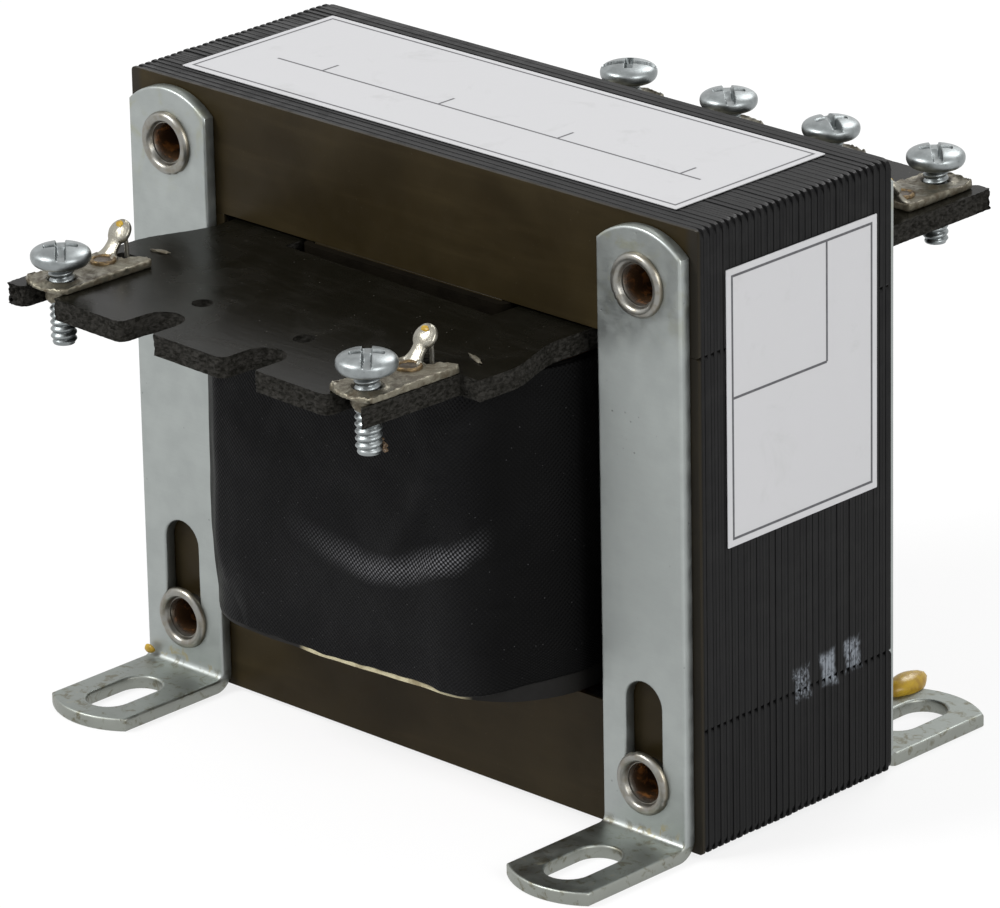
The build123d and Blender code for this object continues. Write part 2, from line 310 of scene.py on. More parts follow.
@dataclass(frozen=True)
class VarnishedSheet(Finish):
    """Stamped steel under brown impregnating varnish, near black on its cut edges."""

    label: str = "varnished sheet"
    face_tone: Triple = (0.0160, 0.0112, 0.0042)
    thin_tone: Triple = (0.037, 0.0275, 0.0125)
    edge_tone: Triple = (0.0066, 0.0066, 0.0069)
    # Lighter grey of the edges: partly dust, partly painted sheen.
    dust_and_sheen_edge: Triple = (0.0165, 0.0165, 0.0165)
    brown_edge: Triple = (0.016, 0.0125, 0.0062)
    chalk: Triple = (0.30, 0.33, 0.37)
    fleck_tone: Triple = (0.09, 0.075, 0.05)
    low_tone: Triple = (0.0025, 0.0025, 0.0027)
    front: float = -CORE_FACE
    mark_places: tuple[Pair, ...] = ((0.7, 15.6), (5.0, 16.1), (8.95, 16.6))
    mark_cover: tuple[float, ...] = (0.42, 0.85, 0.7)
    mark_half: Pair = (1.3, 2.2)

    def mixed(self) -> None:
        """Brown stains on the faces, dull ribbed edges with dust and painted sheen, and an amber front edge.
        """
        bench = FinishBench(self.label)
        flat = abs(bench.facing(1)).rise(0.6, 0.9) * abs(bench.axis(1)).rise(14.7, 15.1)
        cloud = bench.noise(14.0, 4.0, 0.5, 0.3).rise(0.25, 0.8)
        streak = bench.noise(3.0, 4.0, 0.6, 0.3, (0.12, 1.0, 1.0))
        fleck = bench.noise(0.35, 2.0, 0.6)
        face = bench.layered(
            self.face_tone,
            (cloud * 0.65 + streak.rise(0.45, 0.75) * 0.35, self.thin_tone),
            (fleck.rise(0.7, 0.8) * 0.3, self.fleck_tone),
            (abs(bench.axis(0)).rise(40.9, 42.0) * 0.6, self.dust_and_sheen_edge),
        )
        # Edges: dust in blotches and painted sheen in bands along the sheets make them lighter grey; they go
        # darker towards the bottom and amber near the front.
        lay = bench.noise(0.7, 2.0, 0.6, 0.0, (0.02, 1.0, 0.02))
        dust = bench.noise(2.6, 4.0, 0.65).rise(0.42, 0.75)
        edge = bench.layered(
            self.edge_tone,
            (dust * 0.45 + lay.rise(0.3, 0.75) * 0.35, self.dust_and_sheen_edge),
            (bench.axis(2).rise(30.0, 2.0) * 0.4, self.low_tone),
            (abs(bench.axis(1) - self.front).rise(0.6, 0.2) * 0.85, self.brown_edge),
        )
        colour = self._chalked(bench, bench.mix(flat, edge, face))
        relief = cloud * 0.35 + fleck * 0.25 + streak * 0.4
        bench.done(
            Base_Color=colour,
            Roughness=0.36 + 0.2 * dust - 0.06 * cloud,
            Specular_IOR_Level=0.075,
            Normal=bench.bump(relief, 0.05, 0.6),
        )

    def _chalked(self, bench: FinishBench, colour: Value) -> Value:
        """White ink wiped across the right-hand edges in three patches that can't be read.

        Args:
            bench: Node tree of the material.
            colour: Colour under the ink.

        Returns:
            Colour with the ink on it.
        """
        sideways, height = bench.axis(1), bench.axis(2)
        right = bench.facing(0).rise(0.5, 0.8)
        streak = bench.noise(0.4, 3.0, 0.7, 0.3, (1.0, 1.0, 0.8))
        drift = bench.noise(1.7, 3.0, 0.6, 0.4) - 0.5
        wide, high = self.mark_half
        for (place, level), cover in zip(self.mark_places, self.mark_cover):
            lean = (height - level) * 0.12
            across, up = abs(sideways - place + lean) / wide, abs(height - level + lean) / high
            patch = (across.most(up) + drift * 1.5).rise(1.15, 0.6)
            worn = (streak * 0.75 + cover * 0.25 + drift * 0.4).rise(0.38, 0.64)
            colour = bench.mix(patch * right * worn * 0.6, colour, self.chalk)
        return colour


@dataclass(frozen=True)
class ZincPlating(Finish):
    """Bright zinc on folded steel, with pits and a trace of amber at the fold."""

    label: str = "zinc plating"
    tone: Triple = (0.372, 0.396, 0.386)
    worn: Triple = (0.322, 0.344, 0.336)
    # Painted shade of the faces that lie level.
    level_shade: Triple = (0.215, 0.232, 0.213)
    stain: Triple = (0.29, 0.25, 0.12)
    dirt: Triple = (0.11, 0.098, 0.055)
    cut: Triple = (0.17, 0.17, 0.125)
    aged: Triple = (0.31, 0.31, 0.19)
    pitted: Triple = (0.10, 0.105, 0.10)
    thickness: float = 1.6

    def mixed(self) -> None:
        """Satin metal with cloudy roughness, small pits, and painted shade where it lies level."""
        bench = FinishBench(self.label)
        cloud = bench.noise(3.2, 5.0, 0.6).rise(0.3, 0.72)
        pit = bench.cells(1.3).rise(0.11, 0.05) * bench.noise(4.0, 2.0).rise(0.5, 0.62)
        scratch = bench.noise(1.0, 2.0, 0.5, 0.0, (0.3, 2.2, 5.0))
        # Faces that lie level, such as the foot, take painted shade.
        level = bench.facing(2).rise(0.55, 0.95)
        height = bench.axis(2)
        wall = (1.0 - level) * height.rise(self.thickness + 0.2, self.thickness - 0.1)
        fold = height.rise(1.2, 2.2) * height.rise(4.4, 2.8)
        amber = (bench.noise(2.2, 3.0, 0.6, 0.8) + fold * 0.13).rise(0.68, 0.76) * fold
        old = bench.noise(3.0, 4.0, 0.6, 0.8).rise(0.48, 0.7) * height.rise(56.0, 66.0)
        grime = bench.noise(1.5, 4.0, 0.65, 0.7).rise(0.52, 0.66) * height.rise(3.0, 1.9)
        colour = bench.layered(
            self.worn,
            (cloud, self.tone),
            (level * 0.85, self.level_shade),
            (wall * 0.45, self.cut),
            (old * 0.4, self.aged),
            (pit * 0.55, self.pitted),
            (amber * 0.75, self.stain),
            (grime * 0.7, self.dirt),
        )
        relief = cloud * 0.3 - pit + scratch * 0.22
        bench.done(
            Base_Color=colour,
            Metallic=1.0 - amber * 0.6,
            Roughness=0.36 + 0.14 * cloud + 0.1 * scratch,
            Normal=bench.bump(relief, 0.05, 0.5),
        )


@dataclass(frozen=True)
class TinnedBrass(Finish):
    """Hot tinned sheet with a crust of flux and varnish in its hollows."""

    label: str = "tinned brass"
    bright: Triple = (0.21, 0.197, 0.152)
    crust: Triple = (0.062, 0.049, 0.029)
    grain: float = 0.9
    shine: float = 0.0

    def mixed(self) -> None:
        """Uneven dull tin with brown crust; shine makes it smoother and cleaner."""
        bench = FinishBench(self.label)
        lump = bench.noise(self.grain, 5.0, 0.62, 0.5)
        patch = bench.noise(self.grain * 2.5, 3.0, 0.6, 0.8).rise(0.42, 0.62)
        fine_grain = bench.noise(0.22, 3.0, 0.6)
        clean = (lump + self.shine * 0.25).rise(0.38, 0.62) * 0.6 + (patch + self.shine).least(1.0) * 0.4
        colour = bench.mix(clean, self.crust, self.bright)
        bench.done(
            Base_Color=colour,
            Metallic=0.35 + 0.55 * clean,
            Roughness=0.5 - 0.25 * clean - 0.06 * self.shine + 0.12 * fine_grain,
            Normal=bench.bump(lump * 0.8 + fine_grain * 0.3, 0.12 - 0.06 * self.shine, 0.7),
        )


@dataclass(frozen=True)
class ScrewZinc(Finish):
    """Bluish bright zinc of the terminal screws."""

    label: str = "screw zinc"
    tone: Triple = (0.30, 0.323, 0.327)
    dull: Triple = (0.215, 0.232, 0.234)
    pitted: Triple = (0.06, 0.055, 0.045)

    def mixed(self) -> None:
        """Bright metal with soft clouds and tiny dark pits."""
        bench = FinishBench(self.label)
        cloud = bench.noise(1.3, 4.0, 0.6).rise(0.3, 0.75)
        pit = bench.cells(0.55).rise(0.14, 0.05)
        colour = bench.layered(self.dull, (cloud, self.tone), (pit * 0.5, self.pitted))
        bench.done(
            Base_Color=colour,
            Metallic=1.0,
            Roughness=0.36 + 0.1 * cloud,
            Normal=bench.bump(cloud * 0.5 - pit, 0.02, 0.4),
        )


@dataclass(frozen=True)
class EyeletMetal(Finish):
    """Polished rolled eyelet with glossy copper-brown varnish down its funnel."""

    label: str = "eyelet metal"
    tin: Triple = (0.25, 0.247, 0.228)
    rim: Triple = (0.17, 0.145, 0.10)
    bore: Triple = (0.095, 0.052, 0.026)
    # Painted glow, orange, in patches down the bore.
    glow: Triple = (0.46, 0.19, 0.055)
    lip: Pair = (2.36, 2.02)
    flange: float = 3.5

    def mixed(self) -> None:
        """Silver ring, brown where it meets the bracket and down the bore, with patches of painted orange
        glow in the bore.

        The distance from the eyelet's axis comes from the piece's own map.
        """
        bench = FinishBench(self.label)
        radius = bench.axis(0, bench.node("ShaderNodeUVMap", {"uv_map": MAP}))
        deep = radius.rise(*self.lip)
        cloud = bench.noise(0.9, 3.0, 0.55)
        # Patches of painted glow in the bore.
        ember = bench.noise(1.5, 3.0, 0.6, 0.5).rise(0.5, 0.68)
        colour = bench.layered(
            self.rim,
            (cloud.rise(0.3, 0.6) * 0.5 + 0.5, self.tin),
            (radius.rise(self.flange, self.flange + 0.15) * 0.7, self.rim),
            (deep, bench.mix(ember, self.bore, self.glow)),
        )
        bench.done(
            Base_Color=colour,
            Metallic=0.95 - 0.35 * deep,
            Roughness=0.3 + 0.1 * cloud - 0.12 * deep,
            Normal=bench.bump(cloud, 0.015, 0.5),
        )


@dataclass(frozen=True)
class FibreBoard(Finish):
    """Black vulcanised fibre under brushed varnish, with crumbly cut edges."""

    label: str = "fibre board"
    tone: Triple = (0.0036, 0.0033, 0.0020)
    dusty: Triple = (0.0088, 0.0081, 0.0062)
    cut: Triple = (0.034, 0.032, 0.0285)
    specked: Triple = (0.12, 0.115, 0.10)

    def mixed(self) -> None:
        """Soft gloss with brush marks, dust specks and paler fibrous cuts."""
        bench = FinishBench(self.label)
        level = abs(bench.facing(2)).rise(0.6, 0.9)
        brush = bench.noise(0.9, 4.0, 0.6, 0.5, (0.16, 1.0, 1.0))
        film = bench.noise(8.0, 4.0, 0.6, 0.8).rise(0.42, 0.7)
        speck = bench.cells(0.8).rise(0.12, 0.05) * bench.noise(2.5, 2.0).rise(0.52, 0.62)
        fibre = bench.noise(0.5, 4.0, 0.7, 0.4, (0.8, 0.8, 1.6))
        top = bench.mix(film * 0.35 + brush.rise(0.45, 0.75) * 0.5, self.tone, self.dusty)
        top = bench.mix(speck * 0.6, top, self.specked)
        side = bench.mix(fibre.rise(0.35, 0.7) * 0.8, self.tone, self.cut)
        bench.done(
            Base_Color=bench.mix(level, side, top),
            Roughness=0.68 - 0.46 * level + 0.08 * film,
            Specular_IOR_Level=0.08,
            Normal=bench.bump(brush * 0.35 + fibre * (1.0 - level) * 4.0, 0.06, 0.6),
        )


@dataclass(frozen=True)
class WovenCloth(Finish):
    """Black woven tape soaked in varnish, with its weave on the piece's own map."""

    label: str = "woven cloth"
    tone: Triple = (0.0032, 0.0032, 0.0035)
    raised: Triple = (0.0085, 0.0085, 0.0089)
    # Painted sheen of the band across the front.
    shine: Triple = (0.17, 0.17, 0.18)
    # Painted sheen on the left side, seen at a grazing angle.
    worn: Triple = (0.021, 0.0225, 0.0195)
    # Painted shade toward the right corner.
    shaded: Triple = (0.0015, 0.0015, 0.0015)
    lint: Triple = (0.10, 0.10, 0.10)
    pitch: float = 0.56
    bow: Triple = (0.0197, -0.140, 28.4)
    bow_middle: float = 15.0
    front: float = -22.0
    sheen_side: float = -18.6

    def mixed(self) -> None:
        """Plain weave: two sets of threads that pass over each other in turn.

        A band of painted sheen across the front, lighter on the raised threads,
        sags along a parabola of height over x.
        """
        bench = FinishBench(self.label)
        across = bench.node("ShaderNodeUVMap", {"uv_map": MAP})
        drift = bench.noise(2.2, 4.0, 0.6)
        turn = 2.0 * math.pi / self.pitch
        warp = ((bench.axis(0, across) + drift * 0.25) * turn).sine()
        weft = ((bench.axis(1, across) + drift * 0.2) * turn).sine()
        weave = warp * weft * 0.5 + 0.5
        cloud = bench.noise(7.0, 4.0, 0.6, 0.5).rise(0.35, 0.7)
        fluff = bench.noise(0.25, 3.0, 0.7)
        x, y, z = bench.axis(0), bench.axis(1), bench.axis(2)
        bend, slope, lowest = self.bow
        away = abs(z - (x * x * bend + x * slope + lowest)) + cloud * 0.8
        band = away.rise(2.7, 0.2) * abs(x - self.bow_middle).rise(24.0, 3.0)
        band = band * x.rise(22.5, 18.0) * y.rise(self.front, self.front - 2.0)
        # Painted grazing sheen on the left side, in clouds.
        side = x.rise(self.sheen_side, self.sheen_side - 2.5)
        colour = bench.layered(
            self.tone,
            (weave * 0.7 + cloud * 0.25, self.raised),
            # Painted shade toward the right corner.
            (x.rise(17.5, 23.0) * 0.8, self.shaded),
            # Painted sheen in the band across the front.
            (band * (weave + fluff * 0.5).rise(0.6, 1.15) * 0.8, self.shine),
            (side * (0.35 + 0.65 * cloud), self.worn),
            (bench.cells(1.1).rise(0.07, 0.03) * 0.5, self.lint),
        )
        bench.done(
            Base_Color=colour,
            Roughness=0.55 + 0.12 * fluff - 0.1 * cloud,
            Specular_IOR_Level=0.05,
            Normal=bench.bump(weave * 0.8 + fluff * 0.3, 0.11, 0.8),
        )


@dataclass(frozen=True)
class PressPaper(Finish):
    """Pressed paper with fine fibres, soaked dark with varnish in places."""

    label: str = "press paper"
    tone: Triple = (0.46, 0.42, 0.28)
    soaked: Triple = (0.12, 0.085, 0.035)
    # Span along x outside which the paper is painted shade, near black.
    clean: Pair = (-100.0, 100.0)
    gloss: float = 0.2
    painted_shade: Triple = (0.005, 0.0045, 0.004)

    def mixed(self) -> None:
        """Fibres and darker soaked places; outside two places along x it is near black, as painted shade."""
        bench = FinishBench(self.label)
        fibre = bench.noise(0.5, 4.0, 0.65, 0.4, (1.0, 1.0, 2.5))
        soak = bench.noise(4.0, 4.0, 0.6, 0.6).rise(0.45, 0.7) * 0.6
        left, right = self.clean
        x = bench.axis(0)
        # Painted shade: near black outside the span.
        black = x.rise(left + 0.6, left - 0.6).most(x.rise(right - 0.8, right + 0.8))
        colour = bench.mix(soak + fibre * 0.2, self.tone, self.soaked)
        colour = bench.mix(black, colour, self.painted_shade)
        bench.done(
            Base_Color=colour,
            Roughness=0.65 - 0.2 * soak,
            Specular_IOR_Level=self.gloss,
            Normal=bench.bump(fibre, 0.06, 0.6),
        )


@dataclass(frozen=True)
class CopperWire(Finish):
    """Enamelled copper, wound in level turns."""

    label: str = "copper wire"
    tone: Triple = (0.46, 0.17, 0.06)
    gauge: float = 0.6
    # Painted shade in the grooves between turns.
    groove: Triple = (0.10, 0.03, 0.01)

    def mixed(self) -> None:
        """Rounded turns one above the other under amber enamel, with painted shade in the grooves between
        them.
        """
        bench = FinishBench(self.label)
        turn = abs((bench.axis(2) * (math.pi / self.gauge)).sine())
        cloud = bench.noise(3.0, 3.0)
        colour = bench.mix(turn * 0.7 + cloud * 0.3, self.groove, self.tone)
        bench.done(
            Base_Color=colour,
            Metallic=0.85,
            Roughness=0.28 + 0.15 * cloud,
            Normal=bench.bump(turn, 0.2, 0.8),
        )


@dataclass(frozen=True)
class CloudyCoat(Finish):
    """Smooth coat of two tones; its defaults are cured drops of yellow-brown varnish."""

    label: str = "amber varnish"
    tone: Triple = (0.42, 0.27, 0.02)
    dark: Triple = (0.27, 0.155, 0.012)
    cloud: Quad = (1.2, 2.0, 0.3, 0.75)
    share: float = 1.0
    metal: float = 0.0
    gloss: float = 0.3
    rough: float = 0.22
    relief: Pair = (0.02, 0.4)

    def mixed(self) -> None:
        """Clouds of the dark tone, which are a little duller."""
        bench = FinishBench(self.label)
        size, detail, low, high = self.cloud
        cloud = bench.noise(size, detail).rise(low, high)
        bench.done(
            Base_Color=bench.mix(cloud * self.share, self.tone, self.dark),
            Metallic=self.metal,
            Roughness=self.rough + 0.2 * cloud,
            Specular_IOR_Level=self.gloss,
            Normal=bench.bump(cloud, *self.relief),
        )


@dataclass(frozen=True)
class LabelFilm(Finish):
    """Bare pale label film with a thin frame and a few ruled lines."""

    label: str = "label film"
    tone: Triple = (0.44, 0.44, 0.45)
    ink: Triple = (0.035, 0.035, 0.04)
    scuffed: Triple = (0.34, 0.34, 0.335)
    across: int = 0
    along: int = 1
    middle: Pair = (0.0, 0.0)
    half: Pair = (10.0, 10.0)
    frame_inset: float = 0.9
    frame_line: float = 0.3
    rules: tuple[Rule, ...] = ()

    def mixed(self) -> None:
        """Faint wear, a few grey scuffs and the ruled lines.

        A rule is whether it runs along the second axis, its place on the other axis, and
        where it starts and ends, all from the label's middle.
        """
        bench = FinishBench(self.label)
        first = bench.axis(self.across) - self.middle[0]
        second = bench.axis(self.along) - self.middle[1]
        reach = self.frame_line * 0.5
        inset = (self.half[0] - abs(first)).least(self.half[1] - abs(second))
        line = abs(inset - self.frame_inset).rise(reach + 0.04, reach - 0.04)
        for upright, place, start, end in self.rules:
            crossing, running = (first, second) if upright else (second, first)
            near = abs(crossing - place).rise(reach + 0.04, reach - 0.04)
            between = running.rise(start - 0.05, start + 0.05) * running.rise(end + 0.05, end - 0.05)
            line = line.most(near * between)
        scuff = bench.noise(6.0, 5.0, 0.65, 0.6).rise(0.55, 0.78)
        fibre = bench.noise(0.5, 3.0)
        colour = bench.mix(scuff * 0.3, self.tone, self.scuffed)
        colour = bench.mix(line * (0.8 + 0.2 * fibre), colour, self.ink)
        bench.done(
            Base_Color=colour,
            Roughness=0.45 + 0.2 * scuff,
            Specular_IOR_Level=0.2,
            Normal=bench.bump(fibre * 0.5 + scuff, 0.02, 0.4),
        )


@dataclass(frozen=True)
class PaleFloor(Finish):
    """White sweep under the object, which keeps a faint shadow of it."""

    label: str = "pale floor"
    tone: Triple = (0.86, 0.86, 0.86)
    paler: Triple = (0.89, 0.89, 0.89)
    shadow: float = 0.2

    def mixed(self) -> None:
        """Matt white, part of which the camera and gloss see as plain white."""
        bench = FinishBench(self.label)
        cloud = bench.noise(400.0, 1.0)
        bench.done(
            Base_Color=bench.mix(cloud, self.tone, self.paler),
            Roughness=0.8,
            Specular_IOR_Level=0.1,
        )
        matt = Value(bench, bench.shader.outputs[0])
        plain = bench.node("ShaderNodeEmission", {}, {"Color": (1.0, 1.0, 1.0), "Strength": 1.0})
        white = bench.mirrored() * (1.0 - self.shadow)
        both = bench.node("ShaderNodeMixShader", {}, {0: white, 1: matt, 2: plain})
        bench.feed(bench.output.inputs[0], both)


# Surfaces


@dataclass
class Shell:
    """Points in millimetres with the faces that join them."""

    points: Array
    faces: list[Array]
    chart: Array | None = None

    def moved(self, place: Callable[[Array], Array]) -> "Shell":
        """The same faces with each point sent through a function of the whole array."""
        return Shell(place(self.points), self.faces, self.chart)


def quads(rows: int, columns: int, close_rows: bool = False, close_columns: bool = False) -> Array:
    """Faces of a grid, each joining a point to its next column, diagonal and next row.

    Args:
        rows: Rows of the grid.
        columns: Columns of the grid.
        close_rows: Whether the last row joins the first.
        close_columns: Whether the last column joins the first.

    Returns:
        Four indices for each face.
    """
    row, column = np.meshgrid(
        np.arange(rows if close_rows else rows - 1),
        np.arange(columns if close_columns else columns - 1),
        indexing="ij",
    )
    above, beside = (row + 1) % rows, (column + 1) % columns
    row, above = row * columns, above * columns
    corners = [row + column, row + beside, above + beside, above + column]
    return np.stack(corners, -1).reshape(-1, 4)


def rounded(corners: Sequence[Pair], radii: Sequence[float] | float, steps: int = 5) -> Array:
    """Polygon with an arc at each corner.

    An arc starts and ends r / tan(half the corner's angle) from the corner, and its points
    turn evenly about the centre that both edges touch.

    Args:
        corners: The polygon, anticlockwise.
        radii: One radius, or one for each corner.
        steps: Pieces of each arc.

    Returns:
        Points of the outline.
    """
    loop = np.asarray(corners, float)
    radius = np.broadcast_to(np.asarray(radii, float), len(loop))
    back = np.roll(loop, 1, axis=0) - loop
    ahead = np.roll(loop, -1, axis=0) - loop
    back /= np.linalg.norm(back, axis=1)[:, None]
    ahead /= np.linalg.norm(ahead, axis=1)[:, None]
    angle = np.arccos(np.clip((back * ahead).sum(1), -1, 1))
    reach = (radius / np.tan(angle / 2))[:, None]
    middle = back + ahead
    middle /= np.linalg.norm(middle, axis=1)[:, None]
    centre = loop + middle * (radius / np.sin(angle / 2))[:, None]
    first, last = loop + back * reach - centre, loop + ahead * reach - centre
    sweep = np.pi - angle
    part = np.linspace(0, 1, steps + 1)
    start = np.sin((1 - part)[None, :] * sweep[:, None]) / np.sin(sweep)[:, None]
    finish = np.sin(part[None, :] * sweep[:, None]) / np.sin(sweep)[:, None]
    arcs = centre[:, None] + start[..., None] * first[:, None] + finish[..., None] * last[:, None]
    points = [arcs[i] if radius[i] > 0 else loop[i : i + 1] for i in range(len(loop))]
    return np.concatenate(points)


def unit(angle: Array) -> Array:
    """Points of the unit circle: cosine and sine of each angle."""
    return np.column_stack([np.cos(angle), np.sin(angle)])


def bell(distance: Array, width: float) -> Array:
    """Bell curve: e to the minus square of distance over width."""
    return np.exp(-((distance / width) ** 2))


def smooth(part: Array) -> Array:
    """Step from 0 to 1 that starts and ends level: three squares less two cubes."""
    return part * part * (3 - 2 * part)


def circle(x: float, y: float, radius: float, count: int = 32) -> Array:
    """Hole of one radius, clockwise."""
    angle = -np.linspace(0, 2 * np.pi, count, endpoint=False)
    return (x, y) + radius * unit(angle)


def slot_loop(middle: Pair, size: Pair, upright: bool = True, count: int = 16) -> Array:
    """Clockwise slot with round ends.

    Args:
        middle: Its middle.
        size: Its whole length and width.
        upright: Whether its length runs along y.
        count: Points of each end.

    Returns:
        Points of the slot.
    """
    half = (size[0] - size[1]) / 2
    end = unit(-np.linspace(0, np.pi, count)) * size[1] / 2
    loop = np.concatenate([-end + (0, half), end + (0, -half)])
    return loop + middle if upright else loop @ np.array([[0, 1], [-1, 0]]) + middle


def fine(loop: Array, step: float) -> Array:
    """The same loop with points no further apart than a step.

    Args:
        loop: Closed loop.
        step: Greatest distance.

    Returns:
        The loop with more points.
    """
    ahead = np.roll(loop, -1, axis=0) - loop
    count = np.maximum(1, np.ceil(np.linalg.norm(ahead, axis=1) / step).astype(int))
    edge = np.repeat(np.arange(len(loop)), count)
    part = (np.arange(count.sum()) - np.repeat(np.cumsum(count) - count, count)) / count[edge]
    return loop[edge] + part[:, None] * ahead[edge]


def inward(loop: Array) -> Array:
    """Direction at each point that keeps every edge parallel when all points follow it.

    It is the sum of the two edges' left normals over one plus their product.

    Args:
        loop: Closed loop.

    Returns:
        One vector for each point.
    """
    ahead = np.roll(loop, -1, axis=0) - loop
    ahead /= np.linalg.norm(ahead, axis=1)[:, None]
    left = np.column_stack([-ahead[:, 1], ahead[:, 0]])
    behind = np.roll(left, 1, axis=0)
    return (left + behind) / (1 + (left * behind).sum(1))[:, None]


def within(points: Array, loops: Loops) -> Array:
    """Whether each point is inside: a ray from it crosses the edges an odd number of times.

    Args:
        points: Points to test.
        loops: Outline and holes.

    Returns:
        Whether each point is inside.
    """
    start = np.concatenate(loops)
    along = np.concatenate([np.roll(loop, -1, axis=0) for loop in loops]) - start
    crosses = (start[:, 1] > points[:, 1:2]) != (start[:, 1] + along[:, 1] > points[:, 1:2])
    rise = np.where(along[:, 1] == 0, 1e-9, along[:, 1])
    reach = start[:, 0] + (points[:, 1:2] - start[:, 1]) * along[:, 0] / rise
    return (crosses & (points[:, :1] < reach)).sum(1) % 2 == 1


def gap_to(points: Array, loops: Loops) -> Array:
    """Distance from each point to the nearest edge of the loops.

    Args:
        points: Points to measure from.
        loops: Outline and holes.

    Returns:
        One distance for each point.
    """
    start = np.concatenate(loops)
    along = np.concatenate([np.roll(loop, -1, axis=0) for loop in loops]) - start
    offset = points[:, None] - start[None]
    share = np.clip((offset * along).sum(-1) / (along * along).sum(-1), 0, 1)
    return np.linalg.norm(offset - share[..., None] * along, axis=-1).min(1)


def field_points(loops: Loops, spacing: float) -> Array:
    """Points of a staggered grid that lie inside the outline and clear of every edge.

    Args:
        loops: Outline and holes.
        spacing: Distance between points.

    Returns:
        The points.
    """
    low, high = loops[0].min(0), loops[0].max(0)
    x, y = np.meshgrid(np.arange(low[0], high[0], spacing), np.arange(low[1], high[1], spacing * 0.87))
    x = x + (np.arange(len(x)) % 2)[:, None] * spacing / 2
    grid = np.column_stack([x.ravel(), y.ravel()])
    return grid[within(grid, loops) & (gap_to(grid, loops) > spacing * 0.45)]


def filled(loops: Loops, extra: Array, slight: float = 0.001) -> Array:
    """Triangles that fill an outline around its holes, using the extra points too.

    A triangle is kept when its middle is inside. One lower than a slight height is kept
    when the place just beyond its longest edge is inside, as its middle lies on the edge.

    Args:
        loops: Outline and holes.
        extra: Points inside.
        slight: Height of a flat triangle.

    Returns:
        Three indices for each triangle.
    """
    points = np.concatenate([*loops, extra])
    edges = []
    start = 0
    for loop in loops:
        ring = np.arange(start, start + len(loop))
        edges.append(np.column_stack([ring, np.roll(ring, -1)]))
        start += len(loop)
    result = delaunay_2d_cdt(points.tolist(), np.concatenate(edges).tolist(), [], 0, 1e-6)
    source = np.array([ids[0] for ids in result[3]])
    faces = source[np.array(result[2])]
    corners = points[faces]
    ahead = np.roll(corners, -1, axis=1) - corners
    length = np.linalg.norm(ahead, axis=2)
    pick = (np.arange(len(faces)), length.argmax(1))
    area = ahead[:, 0, 0] * ahead[:, 1, 1] - ahead[:, 0, 1] * ahead[:, 1, 0]
    across = np.column_stack([ahead[pick][:, 1], -ahead[pick][:, 0]]) / length[pick][:, None]
    beyond = corners[pick] + ahead[pick] / 2 + across * 2 * slight
    slim = (area < slight * length[pick])[:, None]
    return faces[within(np.where(slim, beyond, corners.mean(1)), loops)]


def slab(outline: Array, holes: Loops, levels: Sequence[Pair], spacing: float = 0.0) -> Shell:
    """Flat plate with holes whose edge follows a profile.

    Each level repeats every loop, moved inward by its inset, at its height. Neighbouring
    levels are joined all round, and the first and last are filled.

    Args:
        outline: Outer loop, anticlockwise.
        holes: Inner loops, clockwise.
        levels: Inset and height of each level, from the lowest up.
        spacing: Distance between points inside the two caps, or 0 for none.

    Returns:
        Closed shell with x and y in the plate's plane.
    """
    loops = [outline, *holes]
    flat = np.concatenate(loops)
    lean = np.concatenate([inward(loop) for loop in loops])
    count = len(flat)
    rows = [np.column_stack([flat + inset * lean, np.full(count, height)]) for inset, height in levels]
    faces = []
    for level in range(len(levels) - 1):
        start = level * count
        for loop in loops:
            ring = np.arange(start, start + len(loop))
            ahead = np.roll(ring, -1)
            faces.append(np.column_stack([ring, ahead, ahead + count, ring + count]))
            start += len(loop)
    cap_loops = [loop + levels[-1][0] * inward(loop) for loop in loops]
    extra = field_points(cap_loops, spacing) if spacing else np.empty((0, 2))
    caps = filled(cap_loops, extra)
    top, first = (len(levels) - 1) * count, len(levels) * count
    inner = caps >= count
    faces.append(np.where(inner, caps - count + first, caps)[:, ::-1])
    faces.append(np.where(inner, caps - count + first + len(extra), caps + top))
    for height in (levels[0][1], levels[-1][1]):
        rows.append(np.column_stack([extra, np.full(len(extra), height)]))
    return Shell(np.concatenate(rows), faces)


def soft_edge(thickness: float, radius: float, steps: int = 3) -> list[Pair]:
    """Levels of a plate whose two rims are rounded, with a narrow flat ring at each cap.

    Args:
        thickness: Thickness of the plate.
        radius: Radius of the rims.
        steps: Pieces of each arc.

    Returns:
        Inset and height of each level.
    """
    angle = np.linspace(0, np.pi / 2, steps + 1)
    lower = [(radius * (1 - math.sin(a)), radius * (1 - math.cos(a))) for a in angle]
    upper = [(inset, thickness - height) for inset, height in reversed(lower)]
    rim = (radius * 1.25, 0.0)
    return [rim, *lower, *upper, (rim[0], thickness)]


def revolved(profile: Array, count: int = 48, closed: bool = False) -> Shell:
    """Profile of radius and height turned about the Z axis.

    Args:
        profile: Radius and height of each row.
        count: Points round the axis.
        closed: Whether the last row joins the first.

    Returns:
        The surface.
    """
    angle = np.linspace(0, 2 * np.pi, count, endpoint=False)
    radius, height = profile[:, :1], profile[:, 1:]
    points = np.stack([radius * np.cos(angle), radius * np.sin(angle), height + 0 * angle], -1)
    return Shell(points.reshape(-1, 3), [quads(len(profile), count, closed, True)])


